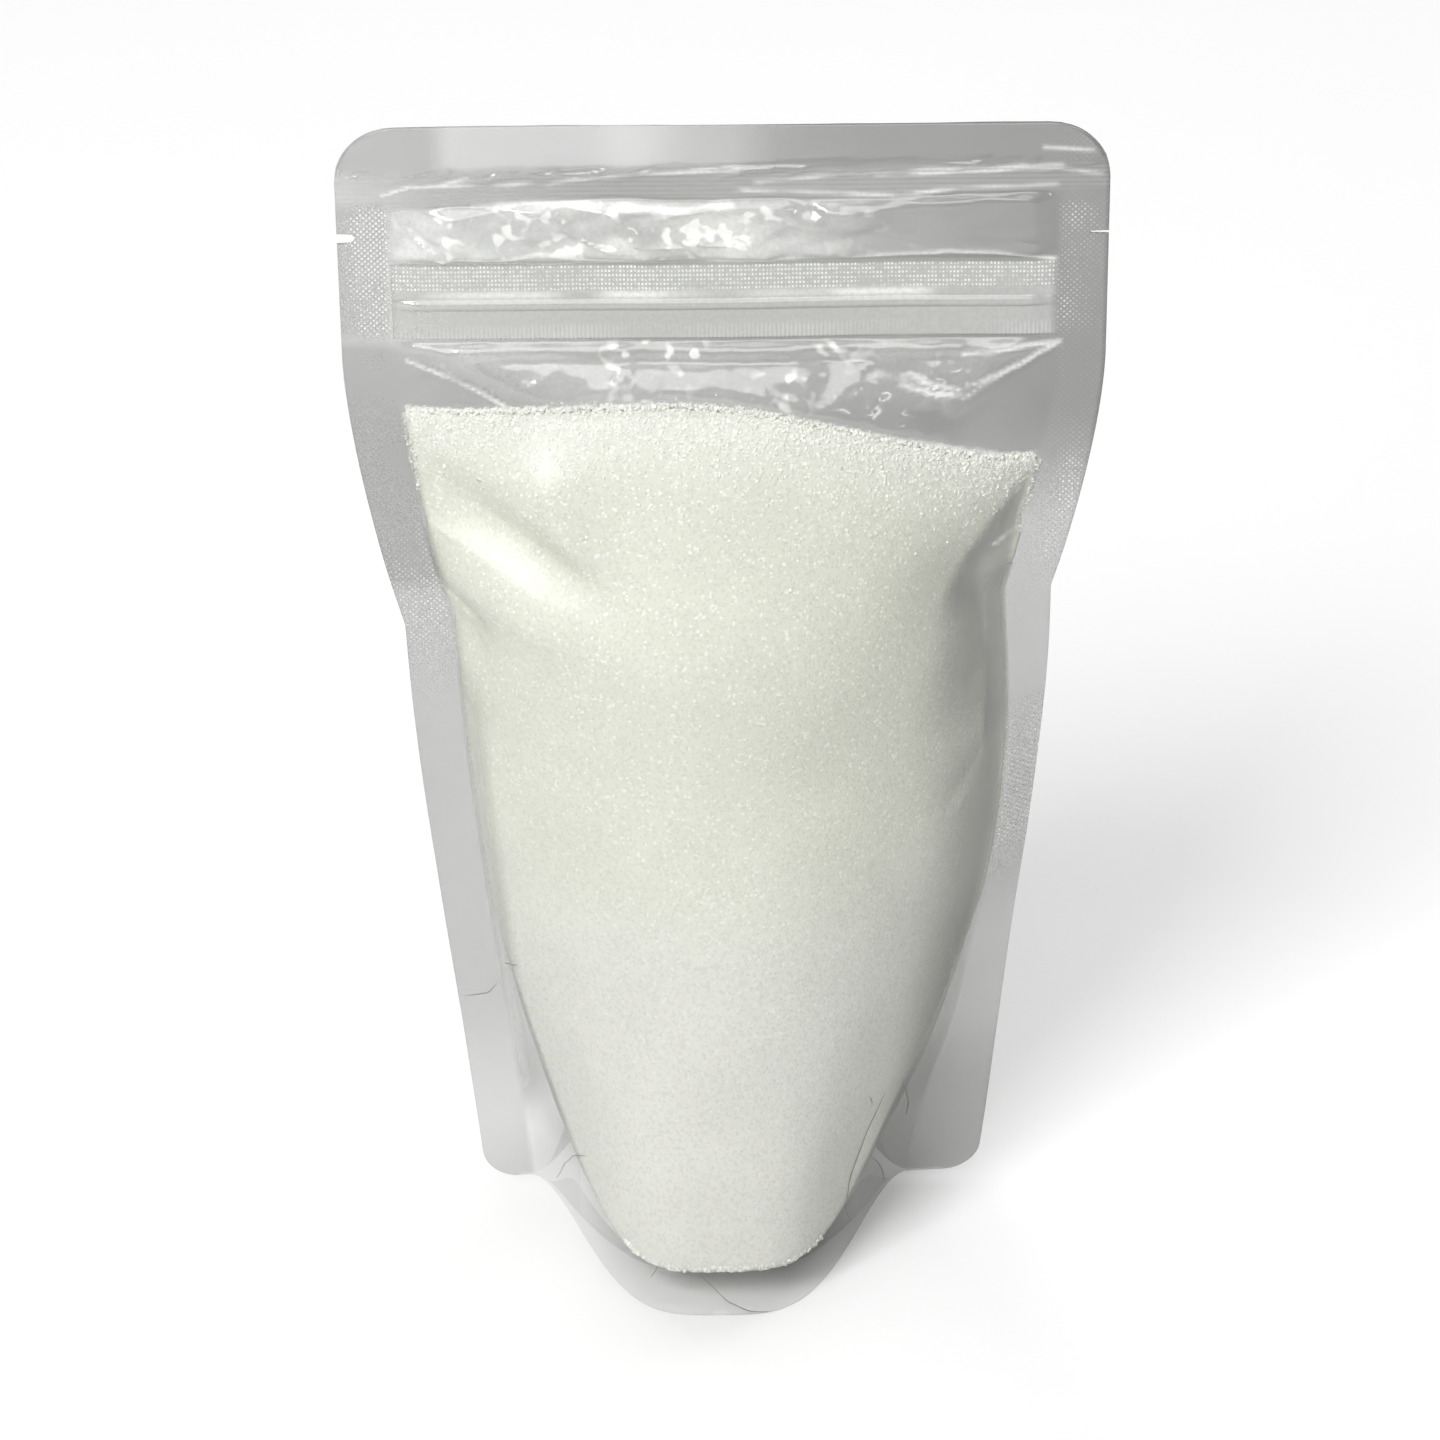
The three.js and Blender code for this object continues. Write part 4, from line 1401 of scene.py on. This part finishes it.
def used_only(points, faces):
    """The same surface without points that no face uses."""
    used, numbers = np.unique(faces, return_inverse=True)
    return points[used], numbers.reshape(faces.shape)


def point_normals(points, faces):
    """Unit normals at the points of a closed surface."""
    corners = points[faces]
    face_normals = np.cross(corners[:, 1] - corners[:, 0], corners[:, 2] - corners[:, 0])
    normals = np.zeros_like(points)
    for corner in range(3):
        np.add.at(normals, faces[:, corner], face_normals)
    return normals / np.maximum(np.linalg.norm(normals, axis=1, keepdims=True), 1e-12)


def build_filling(shape, seed):
    """The filling as one closed form just inside the film, with the relief of its crystals."""
    across = spread_across(FILL_COLUMNS, 0.5)[None, :]
    up = np.linspace(0.0, 1.0, FILL_ROWS)[:, None]
    patches = [
        shape.fill_point(across, up, True),
        shape.fill_point(across, up, False),
        top_point(shape, across, np.linspace(0.0, 1.0, FILL_TOP_ROWS + 2)[1:-1, None]),
        floor_point(shape, across, np.linspace(0.0, 1.0, FILL_FLOOR_ROWS + 2)[1:-1, None]),
    ]
    numbers = []
    total = 0
    for patch in patches:
        numbers.append(numbered(*patch.shape[:2], total))
        total += numbers[-1].size
    front, back, top, floor = numbers
    for end in (0, -1):
        back[:, end] = front[:, end]
        top[:, end] = front[-1, end]
        floor[:, end] = front[0, end]
    lid = np.concatenate([front[-1:], top, back[-1:]])
    base = np.concatenate([front[:1], floor, back[:1]])
    faces = np.concatenate([triangles_of(grid) for grid in (front, back[:, ::-1], lid, base[::-1])])
    points, faces = used_only(np.concatenate([patch.reshape(-1, 3) for patch in patches]), faces)
    draw = np.random.default_rng(seed)
    rough = draw.uniform(-1.0, 1.0, len(points)) + 0.6 * draw.uniform(-1.0, 1.0, len(points))
    level = shape.fill_level(shape.across(points[:, 0], points[:, 2]), True)
    # painted light: the crest mask rises over the top of the filling, where it is painted whiter
    crest = rise(points[:, 2], level - CREST_LIGHT_FADE, CREST_LIGHT_FADE)
    points = points + shape.fill.relief * rough[:, None] * point_normals(points, faces)
    return points, faces, {"crest": crest}


BOX_CORNERS = np.array([[i, j, k] for i in (-0.5, 0.5) for j in (-0.5, 0.5) for k in (-0.5, 0.5)])
BOX_FACES = np.array(
    [
        [0, 1, 3], [0, 3, 2], [4, 6, 7], [4, 7, 5], [0, 4, 5], [0, 5, 1],
        [2, 3, 7], [2, 7, 6], [0, 2, 6], [0, 6, 4], [1, 5, 7], [1, 7, 3],
    ]
)


def random_turns(draw, total):
    """Random rotation matrices from random quaternions."""
    w, x, y, z = unit(draw.normal(size=(total, 4))).T
    rows = [
        [1 - 2 * (y * y + z * z), 2 * (x * y - z * w), 2 * (x * z + y * w)],
        [2 * (x * y + z * w), 1 - 2 * (x * x + z * z), 2 * (y * z - x * w)],
        [2 * (x * z - y * w), 2 * (y * z + x * w), 1 - 2 * (x * x + y * y)],
    ]
    return np.moveaxis(np.array(rows), 2, 0)


def crystals_at(draw, places, least, most):
    """Uneven cuboid crystals at the given places."""
    total = len(places)
    body = BOX_CORNERS[None] + draw.uniform(-0.14, 0.14, (total, 8, 3))
    long = draw.triangular(least, mix(least, most, 0.4), most, total)
    sides = long[:, None] * np.stack([np.ones(total), *draw.uniform(0.6, 0.95, (2, total))], axis=1)
    turned = np.einsum("nij,nkj->nki", random_turns(draw, total), body * sides[:, None, :])
    points = (turned + places[:, None, :]).reshape(-1, 3)
    faces = (BOX_FACES[None] + 8 * np.arange(total)[:, None, None]).reshape(-1, 3)
    return points, faces


def loose_places(shape, counts, draw):
    """Places of the loose crystals: the top, its crest, the band below, the foot, the sides, the film."""
    top = top_point(shape, draw.uniform(-0.97, 0.97, counts.top), draw.uniform(0.04, 0.96, counts.top))
    top[:, 2] += draw.uniform(-0.15, 0.2, counts.top)
    crest = shape.fill_point(draw.uniform(-0.99, 0.99, counts.crest), np.ones(counts.crest), True)
    crest[:, 1] += draw.uniform(0.25, 1.2, counts.crest)
    crest[:, 2] += draw.uniform(-0.5, 0.9, counts.crest)
    below = np.minimum(draw.exponential(0.03, counts.band), 0.4)
    upper = shape.fill_point(draw.uniform(-0.985, 0.985, counts.band), 1.0 - below, True)
    along = draw.uniform(-0.5, 0.5, counts.foot)
    foot = shape.fill_point(along, draw.uniform(0.0, 0.006, counts.foot), True)
    for face in (upper, foot):
        face[:, 1] += draw.uniform(0.1, 0.3, len(face))
    groups = [top, crest, upper, foot]
    for side in (-1.0, 1.0):
        rim = shape.fill_point(side * np.ones(counts.side), draw.uniform(0.84, 1.0, counts.side), True)
        rim[:, 0] -= side * draw.uniform(-0.2, 0.8, counts.side)
        groups.append(rim)
    x = draw.uniform(-45.0, 45.0, counts.stuck)
    z = shape.fill_level(x / 52.0, True) + 0.5 + draw.exponential(1.6, counts.stuck)
    stuck = shape.film_point(x, z, True)
    stuck[:, 1] += 0.4
    return np.concatenate([*groups, stuck])


def build_crystals(shape, counts):
    """All loose crystals as one joined mesh."""
    draw = np.random.default_rng(counts.seed)
    places = loose_places(shape, counts, draw)
    return crystals_at(draw, places, shape.fill.crystal_least, shape.fill.crystal_most)


def build_hairs(shape):
    """Hair-fine dark lines that lie on the front film."""
    tubes = []
    for line in HAIR_LINES:
        at = np.linspace(0.0, len(line) - 1.0, HAIR_STEPS)
        x, z = (np.interp(at, np.arange(len(line)), places) for places in zip(*line))
        path = shape.film_point(x + waves(at * 5.0, 0.0, HAIR_WAVE), z, True)
        path[:, 1] -= HAIR_RADIUS
        tubes.append(tube(path, HAIR_RADIUS, HAIR_SIDES))
    return join(tubes)


class PouchOperator:
    """What every operator of the pouch shares."""

    bl_options = {"REGISTER", "UNDO"}

    @property
    def settings(self):
        """The pouch's settings in the scene."""
        return bpy.context.scene.pouch

    @property
    def shape(self):
        """The pouch's form by those settings."""
        return PouchShape(self.settings)


class POUCH_OT_film(PouchOperator, bpy.types.Operator):
    """Build the clear film with its seals, folds and gusset"""

    bl_idname = "pouch.film"
    bl_label = "Film"

    def execute(self, context):
        colours = self.settings.colours
        points, faces, masks = build_film(self.shape, colours)
        new_piece("film", points, faces, film_material(colours), "film", masks=masks)
        return {"FINISHED"}


class POUCH_OT_zip(PouchOperator, bpy.types.Operator):
    """Build the zip tapes and their ribs"""

    bl_idname = "pouch.zip"
    bl_label = "Zip"

    def execute(self, context):
        new_piece("zip", *build_zip(self.shape), zip_material(self.settings.colours), "film")
        return {"FINISHED"}


class POUCH_OT_filling(PouchOperator, bpy.types.Operator):
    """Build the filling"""

    bl_idname = "pouch.filling"
    bl_label = "Filling"

    def execute(self, context):
        points, faces, masks = build_filling(self.shape, self.settings.counts.seed)
        new_piece("filling", points, faces, filling_material(self.settings.colours), "granules", masks=masks)
        return {"FINISHED"}


class POUCH_OT_crystals(PouchOperator, bpy.types.Operator):
    """Build the loose crystals on top of the filling and round its rims"""

    bl_idname = "pouch.crystals"
    bl_label = "Loose crystals"

    def execute(self, context):
        points, faces = build_crystals(self.shape, self.settings.counts)
        material = crystal_material(self.settings.colours)
        new_piece("loose_crystals", points, faces, material, "granules", smooth=False)
        return {"FINISHED"}


class POUCH_OT_hairs(PouchOperator, bpy.types.Operator):
    """Build the fine dark lines on the film"""

    bl_idname = "pouch.hairs"
    bl_label = "Fine lines"

    def execute(self, context):
        new_piece("fine_lines", *build_hairs(self.shape), hair_material(self.settings.colours), "film")
        return {"FINISHED"}


CAMERA_ELEVATION = math.radians(34.0)
CAMERA_ROLL = math.radians(-0.58)
CAMERA_DISTANCE = 1.2
CAMERA_TARGET = Vector((0.0, 0.0, 0.105))
CAMERA_LENS = 170.2
CAMERA_SENSOR = 36.0
CAMERA_NEAR = 0.05
AIM_RIGHT = -1.29 * MM
AIM_UP = -1.92 * MM
FLOOR_HALF = 6.0
WORLD_STRENGTH = 0.06

# Azimuth and elevation in degrees, width and height in metres, and power in watts
Lamp = namedtuple("Lamp", "name azimuth elevation width height power")
LAMP_TARGET = Vector((0.0, 0.0, 0.1))
LAMP_DISTANCE = 1.6
LAMPS = (
    Lamp("key", -34.0, 45.0, 0.6, 0.6, 17.2),
    Lamp("front", 0.0, 48.0, 0.6, 0.6, 3.8),
    Lamp("top", 0.0, 88.0, 1.2, 1.2, 9.6),
    Lamp("rear right", 135.0, 40.0, 0.8, 0.8, 8.0),
    Lamp("rear left", -150.0, 40.0, 0.8, 0.8, 7.0),
    Lamp("left window", -48.0, 14.0, 0.2, 0.5, 2.0),
    Lamp("right strip", 22.0, 16.0, 0.3, 0.08, 0.8),
)


def look_along(direction, roll):
    """Rotation of a camera or lamp that looks along a direction."""
    return (direction.to_track_quat("-Z", "Y").to_matrix() @ Matrix.Rotation(roll, 3, "Z")).to_4x4()


def add_lamp(lamp):
    """A soft rectangular lamp that faces the pouch. Azimuth 0 is in front and 90 is on the right."""
    data = bpy.data.lights.new(lamp.name, "AREA")
    data.shape = "RECTANGLE"
    data.size = lamp.width
    data.size_y = lamp.height
    data.energy = lamp.power
    turn = math.radians(lamp.azimuth)
    lift = math.radians(lamp.elevation)
    away = Vector((math.sin(turn) * math.cos(lift), -math.cos(turn) * math.cos(lift), math.sin(lift)))
    light = bpy.data.objects.new(lamp.name, data)
    light.matrix_world = Matrix.Translation(LAMP_TARGET + LAMP_DISTANCE * away) @ look_along(-away, 0.0)
    bpy.context.scene.collection.objects.link(light)


def add_floor(colours):
    """A large pale floor."""
    mesh = bpy.data.meshes.new("floor")
    half = FLOOR_HALF
    corners = [(-half, -half, 0.0), (half, -half, 0.0), (half, half, 0.0), (-half, half, 0.0)]
    mesh.from_pydata(corners, [], [(0, 1, 2, 3)])
    mesh.materials.append(floor_material(colours))
    floor = bpy.data.objects.new("floor", mesh)
    bpy.context.scene.collection.objects.link(floor)


def add_camera():
    """The camera at the photograph's angle."""
    data = bpy.data.cameras.new("camera")
    data.lens = CAMERA_LENS
    data.sensor_width = CAMERA_SENSOR
    data.clip_start = CAMERA_NEAR
    back = Vector((0.0, -math.cos(CAMERA_ELEVATION), math.sin(CAMERA_ELEVATION)))
    up = Vector((0.0, math.sin(CAMERA_ELEVATION), math.cos(CAMERA_ELEVATION)))
    eye = CAMERA_TARGET + CAMERA_DISTANCE * back
    aim = CAMERA_TARGET + AIM_RIGHT * Vector((1.0, 0.0, 0.0)) + AIM_UP * up
    camera = bpy.data.objects.new("camera", data)
    camera.matrix_world = Matrix.Translation(eye) @ look_along(aim - eye, CAMERA_ROLL)
    bpy.context.scene.collection.objects.link(camera)
    bpy.context.scene.camera = camera


class POUCH_OT_stage(PouchOperator, bpy.types.Operator):
    """Build the floor, the light and the camera"""

    bl_idname = "pouch.stage"
    bl_label = "Stage"

    def execute(self, context):
        scene = bpy.context.scene
        add_floor(self.settings.colours)
        for lamp in LAMPS:
            add_lamp(lamp)
        scene.world = bpy.data.worlds.new("soft light")
        scene.world.use_nodes = True
        background = scene.world.node_tree.nodes["Background"].inputs
        background["Color"].default_value = (1.0, 1.0, 1.0, 1.0)
        background["Strength"].default_value = WORLD_STRENGTH
        scene.view_settings.view_transform = "Standard"
        add_camera()
        return {"FINISHED"}


STEPS = (POUCH_OT_stage, POUCH_OT_film, POUCH_OT_zip, POUCH_OT_filling, POUCH_OT_crystals, POUCH_OT_hairs)


class POUCH_PT_panel(bpy.types.Panel):
    """Sizes, colours and building steps of the pouch"""

    bl_label = "Zip pouch"
    bl_idname = "POUCH_PT_panel"
    bl_space_type = "VIEW_3D"
    bl_region_type = "UI"
    bl_category = "Pouch"

    def draw(self, context):
        for step in STEPS:
            self.layout.operator(step.bl_idname)
        settings = context.scene.pouch
        for group in (settings.sizes, settings.closure, settings.fill, settings.counts, settings.colours):
            box = self.layout.box()
            for name in type(group).__annotations__:
                box.prop(group, name)


CLASSES = (
    PouchSizes,
    ClosureSizes,
    FillSizes,
    FillCounts,
    PouchColours,
    PouchSettings,
    *STEPS,
    POUCH_PT_panel,
)


def register():
    """Register the classes and the scene's settings."""
    for item in CLASSES:
        bpy.utils.register_class(item)
    bpy.types.Scene.pouch = PointerProperty(type=PouchSettings)


def unregister():
    """Remove the settings and the classes."""
    del bpy.types.Scene.pouch
    for item in reversed(CLASSES):
        bpy.utils.unregister_class(item)


def main():
    """Build the pouch on its stage."""
    register()
    bpy.ops.pouch.stage()
    bpy.ops.pouch.film()
    bpy.ops.pouch.zip()
    bpy.ops.pouch.filling()
    bpy.ops.pouch.crystals()
    bpy.ops.pouch.hairs()


if __name__ == "__main__":
    main()
